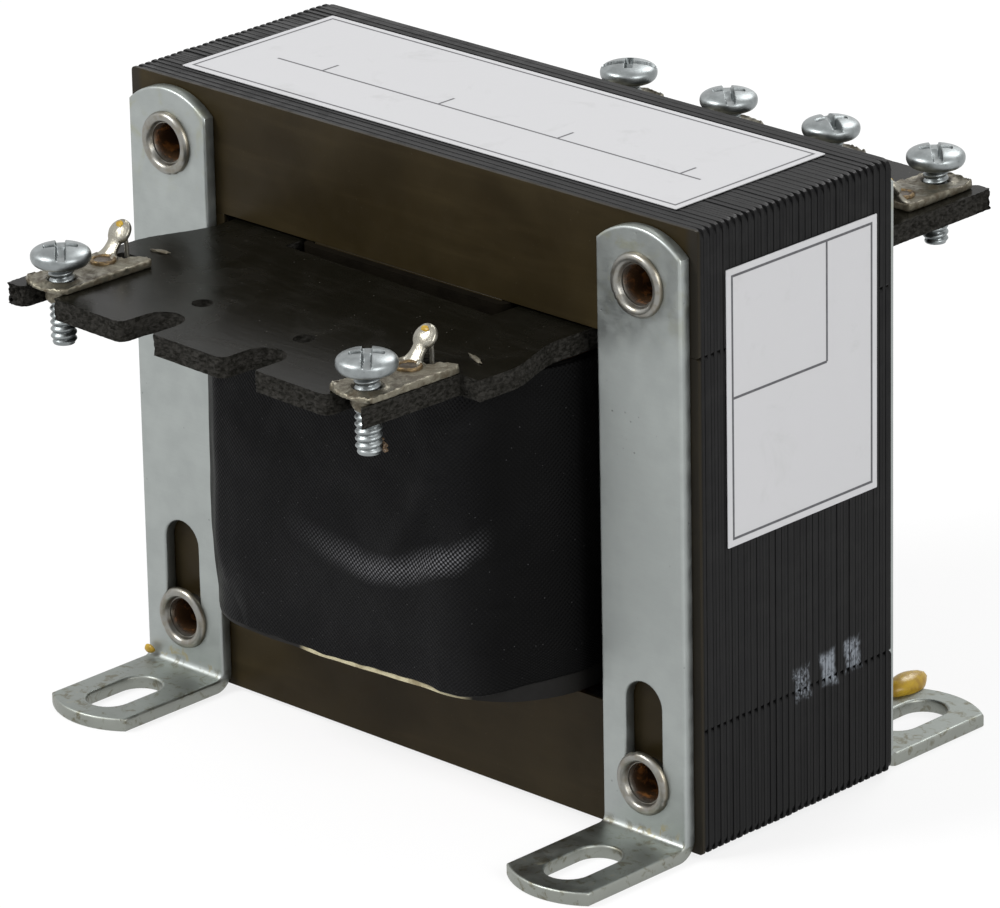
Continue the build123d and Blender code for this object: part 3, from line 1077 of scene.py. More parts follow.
def tube(path: Array, radius: float, aside: Array, sides: int = 12) -> Shell:
    """Round wire along a path, with domed ends.

    Each ring lies across the path's direction there, its first arm along the part of a
    fixed sideways vector that is square to it. The end rings shrink to a point.

    Args:
        path: Points of its middle line.
        radius: Radius of the wire.
        aside: The sideways vector.
        sides: Points of each ring.

    Returns:
        The closed surface.
    """
    along = np.gradient(path, axis=0)
    along /= np.linalg.norm(along, axis=1)[:, None]
    first = aside - (along @ aside)[:, None] * along
    first /= np.linalg.norm(first, axis=1)[:, None]
    second = np.cross(along, first)
    dome = np.array([0.0, 0.7, 1.0])
    push = np.array([0.35, 0.25, 0.0])
    size = np.concatenate([dome, np.ones(len(path) - 2), dome[::-1]]) * radius
    shift = np.concatenate([-push, np.zeros(len(path) - 2), push[::-1]]) * radius
    pick = np.concatenate([[0, 0, 0], np.arange(1, len(path) - 1), [len(path) - 1] * 3])
    angle = np.linspace(0, 2 * np.pi, sides, endpoint=False)
    arm, other = np.cos(angle)[None, :, None], np.sin(angle)[None, :, None]
    ring = arm * first[pick][:, None] + other * second[pick][:, None]
    points = (path[pick] + shift[:, None] * along[pick])[:, None] + ring * size[:, None, None]
    return Shell(points.reshape(-1, 3), [quads(len(pick), sides, False, True)])


def eased(corners: Array, rounds: int = 3) -> Array:
    """Open path with its corners cut again and again at a quarter of each run.

    Args:
        corners: Points of the path.
        rounds: How often it is cut.

    Returns:
        The smoother path.
    """
    path = corners
    for _ in range(rounds):
        low = path[:-1] * 0.75 + path[1:] * 0.25
        high = path[:-1] * 0.25 + path[1:] * 0.75
        middle = np.stack([low, high], 1).reshape(-1, 3)
        path = np.concatenate([path[:1], middle, path[-1:]])
    return path


def waves(points: Array, size: float, seed: int, terms: int = 7) -> Array:
    """Smooth uneven field between about -1 and 1.

    It is a mean of sine waves in seeded directions, each about size long.

    Args:
        points: Where the field is read.
        size: Length of a wave.
        seed: Choice of the waves.
        terms: Number of waves.

    Returns:
        One value for each point.
    """
    draw = np.random.default_rng(seed)
    direction = draw.normal(size=(terms, points.shape[1]))
    direction /= np.linalg.norm(direction, axis=1)[:, None]
    length = size * draw.uniform(0.7, 1.5, terms)
    phase = draw.uniform(0, 2 * np.pi, terms)
    return np.sin(points @ (direction / length[:, None]).T * 2 * np.pi + phase).sum(1) / math.sqrt(terms)


def span(node: str) -> tuple[Array, Array]:
    """Lowest and highest corners of a node, in millimetres."""
    low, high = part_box(node)
    return np.array(low) / MM, np.array(high) / MM


# Pieces

Parts = list[tuple[Shell, Finish]]


class Slot(Enum):
    """Names of material slots."""

    SHEETS = "varnished_laminations"
    BRACKET = "zinc_bracket"
    EYELET = "eyelet_metal"
    FORMER = "former_board"
    PAPER = "wrap_paper"
    COPPER = "winding_copper"
    CLOTH = "woven_cloth"
    BOARD = "fibre_board"
    PLATE = "tinned_plate"
    SCREW = "zinc_screw"
    WIRE = "tinned_wire"
    LABEL = "label_film"


def linked(name: str, data: bpy.types.ID) -> bpy.types.Object:
    """New object of the scene.

    Args:
        name: Its name.
        data: Its mesh, lamp or camera.

    Returns:
        The object.
    """
    thing = bpy.data.objects.new(name, data)
    bpy.context.scene.collection.objects.link(thing)
    return thing


def fit_piece(
    node: str,
    parts: Parts,
    slot: Slot,
    body: str = FRAME_BODY,
    crease: float = 38.0,
    name: str | None = None,
) -> None:
    """Make one object of several shells, in the place of a node of the model.

    Args:
        node: Node of the model that it replaces.
        parts: Its shells, each with its finish.
        slot: Material slot; not used.
        body: The body that it rides on.
        crease: Angle in degrees past which an edge is shaded sharp.
        name: Name of the piece, where it isn't the node's with _dressed.
    """
    name = name or f"{node}_dressed"
    points, faces, skins, chart = [], [], [], []
    finishes = list(dict.fromkeys(finish for _, finish in parts))
    start = 0
    for shell, finish in parts:
        points.append(shell.points)
        uv = shell.chart if shell.chart is not None else np.zeros((len(shell.points), 2))
        for group in shell.faces:
            faces.extend((group + start).tolist())
            skins.extend([finishes.index(finish)] * len(group))
            chart.append(uv[group].reshape(-1, 2))
        start += len(shell.points)
    mesh = bpy.data.meshes.new(name)
    mesh.from_pydata(np.concatenate(points) * MM, [], faces)
    mesh.polygons.foreach_set("material_index", skins)
    if any(shell.chart is not None for shell, _ in parts):
        mesh.uv_layers.new(name=MAP).data.foreach_set("uv", np.concatenate(chart).ravel())
    for finish in finishes:
        mesh.materials.append(finish.material())
    work = bmesh.new()
    work.from_mesh(mesh)
    bmesh.ops.remove_doubles(work, verts=work.verts, dist=WELD * MM)
    bmesh.ops.recalc_face_normals(work, faces=work.faces)
    work.to_mesh(mesh)
    work.free()
    mesh.polygons.foreach_set("use_smooth", [True] * len(mesh.polygons))
    mesh.set_sharp_from_angle(angle=math.radians(crease))
    piece = linked(name, mesh)
    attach(piece, body)
    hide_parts(node)
    log.info("%s: %d faces, rides %s", name, len(mesh.polygons), body)


def dress_node(node: str, finish: Finish) -> None:
    """Give a node of the model, which stays as it is, one finish all over.

    Args:
        node: Name of the node.
        finish: Its finish.
    """
    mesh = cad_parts[node].data
    mesh.materials.clear()
    mesh.materials.append(finish.material())
    log.info("%s: kept, finish %s", node, finish.label)


def blob(
    centre: Sequence[float],
    size: Sequence[float],
    axes: Sequence[Sequence[float]],
    seed: int,
    rough: float = 0.16,
) -> Shell:
    """Lumpy ellipsoid: a ball whose radius swells and shrinks with smooth waves.

    Args:
        centre: Its middle.
        size: Its half sizes along its own axes.
        axes: Directions of those axes.
        seed: Choice of the waves.
        rough: Height of the waves as a share of the radius.

    Returns:
        Its closed surface.
    """
    tilt = np.linspace(0, np.pi, 13)
    ball = revolved(unit(tilt)[:, ::-1], 20)
    radius = 1 + rough * waves(ball.points, 1.3, seed)
    p = ball.points * radius[:, None] * np.asarray(size)
    return Shell(np.asarray(centre) + p @ np.array(axes), ball.faces)


@dataclass
class LaminationPile:
    """Sixty-two stamped sheets, laid one way up and the other in turn."""

    leg: float = 28.575
    limb: float = 14.2875
    window_height: float = 42.8625
    lift: float = 0.5
    depth: float = 31.0
    sheet: float = 0.5
    air: float = 0.02
    joint: float = 0.12
    stagger: float = 0.05
    burr: float = 0.032
    corner: float = 0.45
    worn_corner: float = 1.1
    joint_corner: float = 0.42
    jitter: float = 0.017
    jitter_limit: float = 0.05
    shrink: float = 0.0012
    seed: int = 4

    def __post_init__(self) -> None:
        """Work out the sizes that follow from the stamping's."""
        self.half = self.leg / 2 + 2 * self.limb
        self.top = self.lift + 2 * self.limb + self.window_height

    def e_outline(self, inset: float, corner: float) -> Array:
        """E sheet with its yoke's outer edge at height 0 and its limbs rising.

        Args:
            inset: Distance of its outer sides from the nominal ones.
            corner: Radius of its outer corners.

        Returns:
            Points of the outline.
        """
        half, leg, yoke = self.half - inset, self.leg / 2, self.limb
        inner = self.half - self.limb
        tip = yoke + self.window_height - self.joint
        corners = [
            (-half, inset), (half, inset), (half, tip), (inner, tip), (inner, yoke), (leg, yoke),
            (leg, tip), (-leg, tip), (-leg, yoke), (-inner, yoke), (-inner, tip), (-half, tip),
        ]
        joint = self.joint_corner
        radii = [corner, corner, joint, 0.15, 0.3, 0.3, 0.15, 0.15, 0.3, 0.3, 0.15, joint]
        return rounded(corners, radii, 4)

    def i_outline(self, inset: float, corner: float) -> Array:
        """I sheet with its outer edge at height 0.

        Args:
            inset: Distance of its outer sides from the nominal ones.
            corner: Radius of its outer corners.

        Returns:
            Points of the outline.
        """
        half = self.half - inset
        corners = [(-half, inset), (half, inset), (half, self.limb), (-half, self.limb)]
        return rounded(corners, [corner, corner, self.joint_corner, self.joint_corner], 4)

    def pile(
        self, first: int, outline: Array, edge: float, up: int, draw: np.random.Generator
    ) -> list[Shell]:
        """Every second sheet of one kind.

        Args:
            first: Number of its first sheet, counted from the front.
            outline: Its outline, with the outer edge at height 0.
            edge: Height of that outer edge in the model.
            up: 1 when the outline rises from that edge, -1 when it hangs.
            draw: Source of the small differences between sheets.

        Returns:
            One shell for each sheet.
        """
        holes = [circle(x, self.limb / 2, HOLE_RADIUS, 24) for x in (-HOLE_X, HOLE_X)]
        thick = self.sheet - self.air
        levels = [(self.burr, 0), (0, self.burr), (0, thick - self.burr), (self.burr, thick)]
        plate = slab(outline, holes, levels)
        shells = []
        for number in range(first, round(self.depth / self.sheet), 2):
            limit = self.jitter_limit
            aside, along = np.clip(draw.normal(0, self.jitter, 2), -limit, limit)
            depth = -self.depth / 2 + number * self.sheet

            def place(p: Array) -> Array:
                """Stand the sheet up at its depth, a little off its nominal place."""
                x, z = p[:, 0] * (1 - self.shrink) + aside, edge + up * (p[:, 1] + limit + along)
                return np.column_stack([x, depth + p[:, 2], z])

            shells.append(plate.moved(place))
        return shells

    def build(self) -> None:
        """Make the four groups of sheets."""
        draw = np.random.default_rng(self.seed)
        finish = VarnishedSheet()
        groups = {
            "upright_e": (0, self.e_outline(0, self.corner), self.lift, 1),
            "top_i": (0, self.i_outline(0, self.corner), self.top, -1),
            "inverted_e": (1, self.e_outline(self.stagger, self.worn_corner), self.top, -1),
            "bottom_i": (1, self.i_outline(self.stagger, self.worn_corner), self.lift, 1),
        }
        for name, (first, outline, edge, up) in groups.items():
            shells = self.pile(first, outline, edge, up, draw)
            sheets = [(shell, finish) for shell in shells]
            fit_piece(f"{name}_sheets", sheets, Slot.SHEETS, name=f"{name}_pile")


@dataclass
class AngleBracket:
    """Folded strap with arched ends, an adjusting slot and a foot slot."""

    side: int
    end: int
    width: float = 12.1
    thickness: float = 1.6
    bend: float = 0.8
    top: float = 71.1875
    wall_arch: float = 2.4
    foot_reach: float = 19.0
    foot_arch: float = 2.1
    foot_slot: Pair = (9.9, 5.3)
    foot_slot_reach: float = 11.3
    slot_width: float = 5.3
    slot_travel: float = 9.1
    rim: float = 0.28
    bend_steps: int = 8
    drops: Sequence[Drop] = ()

    def outline(self) -> tuple[Array, float, float]:
        """Flat blank: x across it and y along it, below 0 on the foot and above 0 up the wall.

        Returns:
            The blank, the length of its bend and the height of the bend's centre.
        """
        half = self.width / 2
        centre = self.thickness + self.bend
        arc = math.pi / 2 * (self.bend + self.thickness / 2)
        foot, wall = -(self.foot_reach - centre), arc + self.top - centre
        rise = np.linspace(0, arc, self.bend_steps + 1)

        def arch(tip: float, shoulder: float) -> Array:
            """Arc over the end, from the right edge to the left through the tip.

            Args:
                tip: Place of the tip.
                shoulder: Place of both ends.

            Returns:
                The arc.
            """
            sag = tip - shoulder
            radius = (half**2 + sag**2) / (2 * abs(sag))
            sweep = math.asin(half / radius)
            angle = np.linspace(sweep, -sweep, 17)
            drop = np.sign(sag) * radius * (1 - np.cos(angle))
            return np.column_stack([radius * np.sin(angle), tip - drop])

        lower = arch(foot, foot + self.foot_arch)[::-1]
        upper = arch(wall, wall - self.wall_arch)
        right = np.column_stack([np.full(len(rise), half), rise])
        left = np.column_stack([np.full(len(rise), -half), rise[::-1]])
        return np.concatenate([lower, right, upper, left]), arc, centre

    def fold(self, points: Array, arc: float, centre: float) -> Array:
        """Fold the blank: flat on the floor, round the bend, then up the core's face.

        Past the fold a point turns about the bend's axis by its distance along the bend
        over the bend's length, at the radius that its depth in the metal gives.

        Args:
            points: Distance across, distance along and depth of each point.
            arc: Length of the bend.
            centre: Height of the bend's centre.

        Returns:
            Points in the model's frame.
        """
        across, along, depth = points.T
        turn = np.clip(along / arc, 0, 1) * np.pi / 2
        radius = centre - depth
        reach = centre - radius * np.sin(turn) + np.maximum(-along, 0)
        height = centre - radius * np.cos(turn) + np.maximum(along - arc, 0)
        x = self.side * HOLE_X + across
        return np.column_stack([x, self.end * (CORE_FACE + reach), height])

    def build(self, name: str) -> None:
        """Make the bracket, with any drops of varnish on it.

        Args:
            name: Node that it replaces.
        """
        blank, arc, centre = self.outline()
        shift = arc - centre
        low, high = HOLE_LEVELS
        travel, width = self.slot_travel, self.slot_width
        holes = [
            slot_loop((0, centre - self.foot_slot_reach), self.foot_slot),
            slot_loop((0, low + travel / 2 + shift), (travel + width, width)),
            circle(0, high + shift, HOLE_RADIUS),
        ]
        plate = slab(fine(blank, 0.7), holes, soft_edge(self.thickness, self.rim), 0.9)
        shell = plate.moved(lambda p: self.fold(p, arc, centre))
        parts: Parts = [(shell, ZincPlating())]
        for number, (place, size) in enumerate(self.drops):
            parts.append((blob(place, size, np.eye(3), 31 + number, 0.06), CloudyCoat()))
        fit_piece(name, parts, Slot.BRACKET)


@dataclass
class CoreEyelet:
    """Tube through the core with a smooth rolled flange at each end."""

    x: float
    z: float
    seed: int
    bore: float = 1.95
    tube: float = 2.3
    flange: float = 3.67
    lip: float = 2.45
    flare: float = 1.8
    seat: float = 17.1
    roll: float = 0.7
    splits: int = 2
    split_depth: float = 0.12
    split_width: float = 0.05
    wobble: float = 0.02
    lip_angle: float = 0.35

    def build(self, name: str) -> None:
        """Make the eyelet.

        The radius widens from the bore to the ring as a power of the height, the ring is
        most of an ellipse, and the profile then runs back under it to the tube. At each
        hairline split the ring draws in by a narrow bell-shaped dent.

        Args:
            name: Node that it replaces.
        """
        seat = self.seat
        middle, half = (self.lip + self.flange) / 2, (self.flange - self.lip) / 2
        angle = np.linspace(self.lip_angle, np.pi, 16)
        ring = np.column_stack([middle - half * np.cos(angle), seat + self.roll * np.sin(angle) ** 0.85])
        part = np.linspace(0, 1, 9)[:-1]
        rise = ring[0, 1] - (seat - self.flare)
        throat = np.column_stack([
            self.bore + (ring[0, 0] - self.bore) * part**1.8, seat - self.flare + rise * part
        ])
        under = np.array([(self.flange - 0.06, seat), (self.tube, seat), (self.tube, seat - 1.2)])
        over = np.concatenate([throat, ring[:-1], [(self.flange, seat + 0.05)], under])
        other = over[::-1] * (1, -1)
        bore_run = np.column_stack([np.full(9, self.bore), np.linspace(-seat + 2.6, seat - 2.6, 9)])
        shell = revolved(np.concatenate([bore_run, over, other]), 80, True)
        draw = np.random.default_rng(self.seed)
        angles = draw.uniform(0, 2 * np.pi, self.splits)
        p = shell.points
        angle = np.arctan2(p[:, 1], p[:, 0])
        radius = np.hypot(p[:, 0], p[:, 1])
        chart = np.column_stack([radius, p[:, 2]])
        gap = np.abs((angle[:, None] - angles + np.pi) % (2 * np.pi) - np.pi)
        dent = bell(gap, self.split_width).max(1) * self.split_depth
        wobble = waves(unit(angle) * 3, 3.4, self.seed) * self.wobble
        out = np.clip((radius - self.tube) / (self.flange - self.tube), 0, 1)
        radius = radius - out * (dent * (self.flange - self.tube) - wobble + self.wobble)
        points = np.column_stack([self.x + radius * np.cos(angle), p[:, 2], self.z + radius * np.sin(angle)])
        fit_piece(name, [(Shell(points, shell.faces, chart), EyeletMetal())], Slot.EYELET)


@dataclass
class BoardFrame:
    """Level frame of one end's terminal board: x sideways, y outward from the core."""

    end: int
    skew: float = 2.2

    def place(self, points: Array) -> Array:
        """Points of the board's frame in the model's frame.

        Args:
            points: Points on the board.

        Returns:
            Points in the model's frame.
        """
        turn = math.radians(-self.skew) if self.end < 0 else 0.0
        across = np.array([math.cos(turn), math.sin(turn), 0.0]) * self.end
        outward = np.array([-across[1], across[0], 0.0])
        up = np.array([0.0, 0.0, 1.0])
        origin = np.array([0.0, self.end * CORE_FACE, 0.0])
        return origin + points[:, :1] * across + points[:, 1:2] * outward + points[:, 2:] * up


@dataclass
class TerminalBoard:
    """Flat fibre board with prongs in the core's windows and notches for the screws."""

    end: int
    used: Sequence[int]
    row: Sequence[float]
    half_width: float = 30.0
    reach: float = 32.0
    shoulder: Pair = (3.5, 13.5)
    prong: Pair = (16.2, 27.2)
    prong_depth: float = 13.9
    fork: float = 2.9
    notch: float = 2.4
    tooth_round: float = 1.3
    nick: float = 0.3
    rivet_hole: float = 1.05
    lead_hole: Pair = (2.6, 1.1)
    trim: Pair = (3.0, 18.0)
    fray: float = 0.3
    torn_width: float = 3.0

    def outline(self) -> Array:
        """Outer loop, anticlockwise from the middle of the inner edge.

        Each tooth is rounded on one side, where the punch wore, and sharp on the other.

        Returns:
            Points of the outline.
        """
        inner, outer = self.prong
        low, high = self.shoulder
        part = np.linspace(0, 1, 14)
        right = np.column_stack([outer + (self.half_width - outer) * smooth(part), low + (high - low) * part])
        left = right[::-1] * (-1, 1)
        trim, trim_reach = self.trim
        if self.end < 0:
            left = np.concatenate([
                [(-self.half_width + trim, self.reach), (-self.half_width + trim, trim_reach)],
                [(-self.half_width, trim_reach)], left,
            ])
        else:
            left = np.concatenate([[(-self.half_width, self.reach)], left])
        angle = np.linspace(0, -np.pi, 15)
        dip = unit(angle) * self.notch
        lip = unit(np.linspace(np.pi / 2, np.pi, 7)) * self.tooth_round
        nick = self.nick
        notches = []
        for x in sorted(self.row, reverse=True):
            start = lip + (x + self.notch + self.tooth_round, self.reach - self.tooth_round)
            ends = [(x - self.notch, self.reach - nick), (x - self.notch - nick, self.reach)]
            notches.append(np.concatenate([start, dip + (x, SCREW_REACH), ends]))
        deep = -self.prong_depth
        start = [(-inner, self.fork), (inner, self.fork), (inner, deep), (outer, deep)]
        finish = [(-outer, deep), (-inner, deep)]
        edge = [(self.half_width, self.reach)]
        return np.concatenate([start, right, edge, *notches, left, finish])

    def build(self, name: str) -> None:
        """Make the board, with a crumbly cut edge all round.

        Args:
            name: Node that it replaces.
        """
        holes = []
        for number, x in enumerate(self.row):
            if number in self.used:
                holes.append(slot_loop((x + TAB_SHIFT, LEAD_REACH), self.lead_hole, False, 8))
            else:
                holes.append(circle(x + RIVET_PLACE[0], RIVET_PLACE[1], self.rivet_hole, 24))
        loop = fine(self.outline(), 0.32)
        flat, thick = 0.19, BOARD_THICKNESS
        levels = [
            (flat, 0), (0.13, 0), (0.06, 0.1), (0.02, 0.4), (0.02, 0.8), (0.02, 1.2),
            (0.02, 1.6), (0.03, 2.0), (0.07, 2.28), (0.13, thick), (flat, thick),
        ]
        plate = slab(loop, holes, levels, 1.3)
        lean = np.tile(np.concatenate([inward(item) for item in [loop, *holes]]), (len(levels), 1))
        rim = plate.points[: len(lean)]
        crumb = np.abs(waves(rim, 0.75, 12 + self.end)) * 0.65 + np.abs(waves(rim, 1.7, 11 + self.end)) * 0.4
        torn = bell(np.hypot(rim[:, 0] - self.half_width, rim[:, 1] - self.reach), self.torn_width)
        side = np.clip(np.minimum(rim[:, 2], thick - rim[:, 2]) / 0.15, 0.25, 1)
        points = plate.points.copy()
        loss = np.clip(crumb, 0, 1.1) * side * (1 + 1.6 * torn)
        points[: len(lean), :2] += lean * loss[:, None] * self.fray
        points[:, 2] += BOARD_TOP - thick
        shell = Shell(points, plate.faces).moved(BoardFrame(self.end).place)
        fit_piece(name, [(shell, FibreBoard())], Slot.BOARD)


@dataclass
class Terminal:
    """One screw terminal: plate, collar, rivet, solder tab, screw and lead."""

    name: str
    end: int
    x: float
    turn: float
    start: Pair
    seed: int
    side: Pair = (-3.0, 3.7)
    thickness: float = 0.9
    reach: Pair = (17.4, 31.2)
    arch: float = 0.7
    lance: Triple = (-0.3, 19.5, 1.2)
    bore: float = 1.5
    collar: Pair = (1.85, 1.5)
    head_clearance: float = 3.7
    head_sink: float = 0.17
    rivet_size: Pair = (1.0, 1.5)
    tab: Pair = (TAB_SHIFT, 20.0)
    tab_foot: Pair = (3.2, 1.1)
    tab_width: float = 1.8
    tab_length: float = 2.8
    tab_lean: float = 40.0
    tab_thickness: float = 0.6
    tab_head: float = 1.5
    eye_shift: float = 0.3
    stand_more: float = 0.0
    curl: float = 0.0
    shank: float = 1.45
    shank_length: float = 9.0
    head: Pair = (3.35, 2.3)
    head_edge: float = 1.0
    tuck: float = 0.9
    pitch: float = 0.79375
    slot: Pair = (1.0, 0.9)
    cross: Triple = (0.42, 1.8, 1.45)
    groove_edge: float = 0.02
    thread_depth: float = 0.33
    lead_start_height: float = 53.2
    lead_run_height: float = 54.4
    lead_radius: float = 0.26
    lead_end: float = 0.25
    sliver: Quad = (0.0, 0.0, 0.0, 0.0)
    burr: bool = False

    def tab_axes(self) -> tuple[Array, Array, Array]:
        """Foot of the solder tab, its upward direction and its outward face, on the board.

        Returns:
            A place and two directions.
        """
        lean = math.radians(90 + self.tab_lean)
        foot = np.array([self.x + self.tab[0], self.tab[1], BOARD_TOP + self.thickness])
        up = np.array([0, math.cos(lean), math.sin(lean)])
        return foot, up, np.array([0, up[2], -up[1]])

    def plate_outline(self) -> Array:
        """Tongue beside the lanced corner, then the full width out to the arched end.

        Returns:
            Points of the outline.
        """
        near, far = self.side
        inner, outer = self.reach
        lance_x, lance_reach, taper = self.lance
        half = (far - near) / 2
        radius = (half**2 + self.arch**2) / (2 * self.arch)
        sweep = 0.8 * math.asin(half / radius) * np.linspace(1, -1, 17)
        end = ((near + far) / 2, outer - radius) + radius * np.column_stack([np.sin(sweep), np.cos(sweep)])
        shoulder = outer - self.arch
        corners = [
            (near, inner), (lance_x - taper, inner), (lance_x, inner + taper), (lance_x, lance_reach),
            (far, lance_reach), (far, shoulder), *map(tuple, end), (near, shoulder),
        ]
        radii = [0.85, 0.6, 0.5, 0.25, 0.5, 0.8, *([0.0] * len(end)), 0.8]
        return rounded(corners, radii, 5)

    def plate_shell(self) -> Shell:
        """Tinned plate: crusty rim, a raised ring at the screw and an end that curls.

        Near the screw its upper side stays low enough for the head to come down on it.

        Returns:
            Its surface.
        """
        loop = fine(self.plate_outline(), 0.3)
        hole = circle(0, SCREW_REACH, self.bore, 40)
        thick = self.thickness
        plate = slab(loop, [hole], soft_edge(thick, 0.24), 0.36)
        p = plate.points.copy()
        upper = p[:, 2] / thick
        rim = bell(gap_to(p[:, :2], [loop]), 0.45)
        round_hole = np.hypot(p[:, 0], p[:, 1] - SCREW_REACH)
        lump = waves(p * (1, 1, 0.4), 1.2, self.seed) * 0.035 + waves(p, 0.5, self.seed + 1) * 0.018
        lump += rim * (0.06 * waves(p, 0.7, self.seed + 2) + 0.03 + 0.5 * self.stand_more)
        collar = 0.15 * bell(round_hole - self.collar[0], 0.24)
        dish = 0.06 * bell(round_hole - 2.6, 0.3)
        change = lump + collar - dish - 0.03
        under_head = round_hole < self.head_clearance
        p[:, 2] += upper * np.where(under_head, np.minimum(change, 0.15) - self.head_sink, change)
        roll = np.clip((p[:, 1] - (self.reach[1] - 1.2)) / 1.2, 0, 1)
        p[:, 2] += roll**2 * self.curl * (upper if self.curl < 0 else 1.0)
        fringe = rim * np.abs(waves(p, 0.9, self.seed + 3)) * 0.06
        middle = np.array([(self.side[0] + self.side[1]) / 2, SCREW_REACH])
        away = p[:, :2] - middle
        p[:, :2] -= np.sign(away) * fringe[:, None] * (round_hole > 2.0)[:, None]
        return Shell(p + (self.x, 0, BOARD_TOP), plate.faces)

    def collar_shell(self) -> Shell:
        """Tapped collar drawn down round the screw, torn at its lower edge.

        Returns:
            Its surface.
        """
        outer, depth = self.collar
        top = BOARD_TOP + 0.3
        low = BOARD_TOP - depth
        inside = np.linspace(top, low + 0.1, 5)
        profile = np.array([
            *[(self.bore, z) for z in inside], (self.bore + 0.06, low), (outer - 0.08, low),
            *[(outer, z) for z in inside[::-1]],
        ])
        shell = revolved(profile, 40, True)
        p = shell.points
        torn = waves(unit(np.arctan2(p[:, 1], p[:, 0])), 1.0, self.seed + 6)
        p[:, 2] += np.clip((BOARD_TOP - p[:, 2]) / depth, 0, 1) ** 2 * (0.18 + 0.22 * torn)
        return shell.moved(lambda q: q + (self.x, SCREW_REACH, 0))

    def rivet_parts(self) -> Parts:
        """Tubular rivet through plate and board, with dark varnish in its bore.

        Returns:
            Shells with their finishes.
        """
        high = BOARD_TOP + self.thickness
        low = BOARD_TOP - BOARD_THICKNESS
        bore, edge = self.rivet_size
        turn = np.linspace(0, np.pi, 9)
        middle, half = (bore + edge) / 2, (edge - bore) / 2
        rim = np.column_stack([middle - half * np.cos(turn), 0.06 + 0.28 * np.sin(turn)])
        profile = np.concatenate([rim + (0, high), (rim * (1, -1) + (0, low))[::-1]])
        ring = revolved(profile, 36, True)
        wide = bore + 0.05
        fill = revolved(np.array([
            (0, high + 0.1), (0.5 * bore, high + 0.1), (wide, high + 0.16), (wide, low + 0.2), (0, low + 0.2),
        ]), 24)
        ring.points[:, 2] += 0.03 * waves(ring.points, 1.2, self.seed) * (ring.points[:, 2] > high)
        place = (self.x + RIVET_PLACE[0], RIVET_PLACE[1], 0)
        brass = TinnedBrass("rivet brass", (0.19, 0.13, 0.058), (0.05, 0.03, 0.012), 0.5)
        dark = CloudyCoat("dark varnish", (0.045, 0.03, 0.014), (0.012, 0.009, 0.006))
        return [(ring.moved(lambda p: p + place), brass), (fill.moved(lambda p: p + place), dark)]

    def tab_parts(self) -> Parts:
        """Leaning tab, its eye filled with a smooth dome of solder, and crumbs beside it.

        Returns:
            Shells with their finishes.
        """
        foot, up, outward = self.tab_axes()
        aside = np.array([1.0, 0, 0])
        half, head = self.tab_width / 2, self.tab_head
        join = math.asin(half / head)
        angle = np.linspace(-np.pi / 2 + join, 3 * np.pi / 2 - join, 29)
        crown = np.column_stack([head * np.cos(angle), self.tab_length + head * np.sin(angle)])
        part = np.linspace(0, 1, 7)
        flare = (self.tab_foot[0] / 2 - half) * (1 - part) ** 2
        side = np.column_stack([half + flare, -0.3 + (self.tab_foot[1] + 0.3) * part])
        toe = unit(np.linspace(-np.pi / 2, 0, 5)) * 0.4 + (self.tab_foot[0] / 2 - 0.4, -0.6)
        right = np.concatenate([toe, side])
        loop = fine(np.concatenate([right, crown, right[::-1] * (-1, 1)]), 0.25)
        plate = slab(loop, [], soft_edge(self.tab_thickness, 0.2, 4), 0.28)
        p = plate.points.copy()
        away = np.hypot(p[:, 0], p[:, 1] - self.tab_length) / head
        front = p[:, 2] / self.tab_thickness
        dome = np.clip(1 - away**2, 0, 1) * 0.42 + bell(p[:, 0], 0.7) * (away > 0.9) * 0.12
        p[:, 2] += front * dome + (front - 0.5) * 0.05 * waves(p, 1.1, self.seed + 5) - self.tab_thickness / 2
        sheet = foot + p[:, :1] * aside + p[:, 1:2] * up + p[:, 2:] * outward
        tip = foot + up * (self.tab_length + 0.7) + outward * 0.62
        axes = (aside, up, outward)
        tin = TinnedBrass("solder tin", (0.29, 0.278, 0.235), (0.10, 0.078, 0.045), 1.0, 0.5)
        parts = [
            (Shell(sheet, plate.faces), tin),
            (blob(tip, (0.5, 0.38, 0.15), axes, self.seed), CloudyCoat()),
            (blob(foot + (-1.5, 0.55, 0.1), (0.42, 0.4, 0.32), axes, self.seed + 3, 0.25), tin),
            (blob(foot + (-1.0, 0.2, 0.15), (0.3, 0.3, 0.35), axes, self.seed + 4, 0.25), tin),
        ]
        across, reach, length, slope = self.sliver
        if length:
            lie = np.array([math.cos(slope), math.sin(slope), 0.0])
            centre = (self.x + across, reach, BOARD_TOP + 0.1)
            axes = (lie, (-lie[1], lie[0], 0), (0, 0, 1))
            parts.append((blob(centre, (length / 2, 0.28, 0.2), axes, 5, 0.3), TinnedBrass()))
        return parts

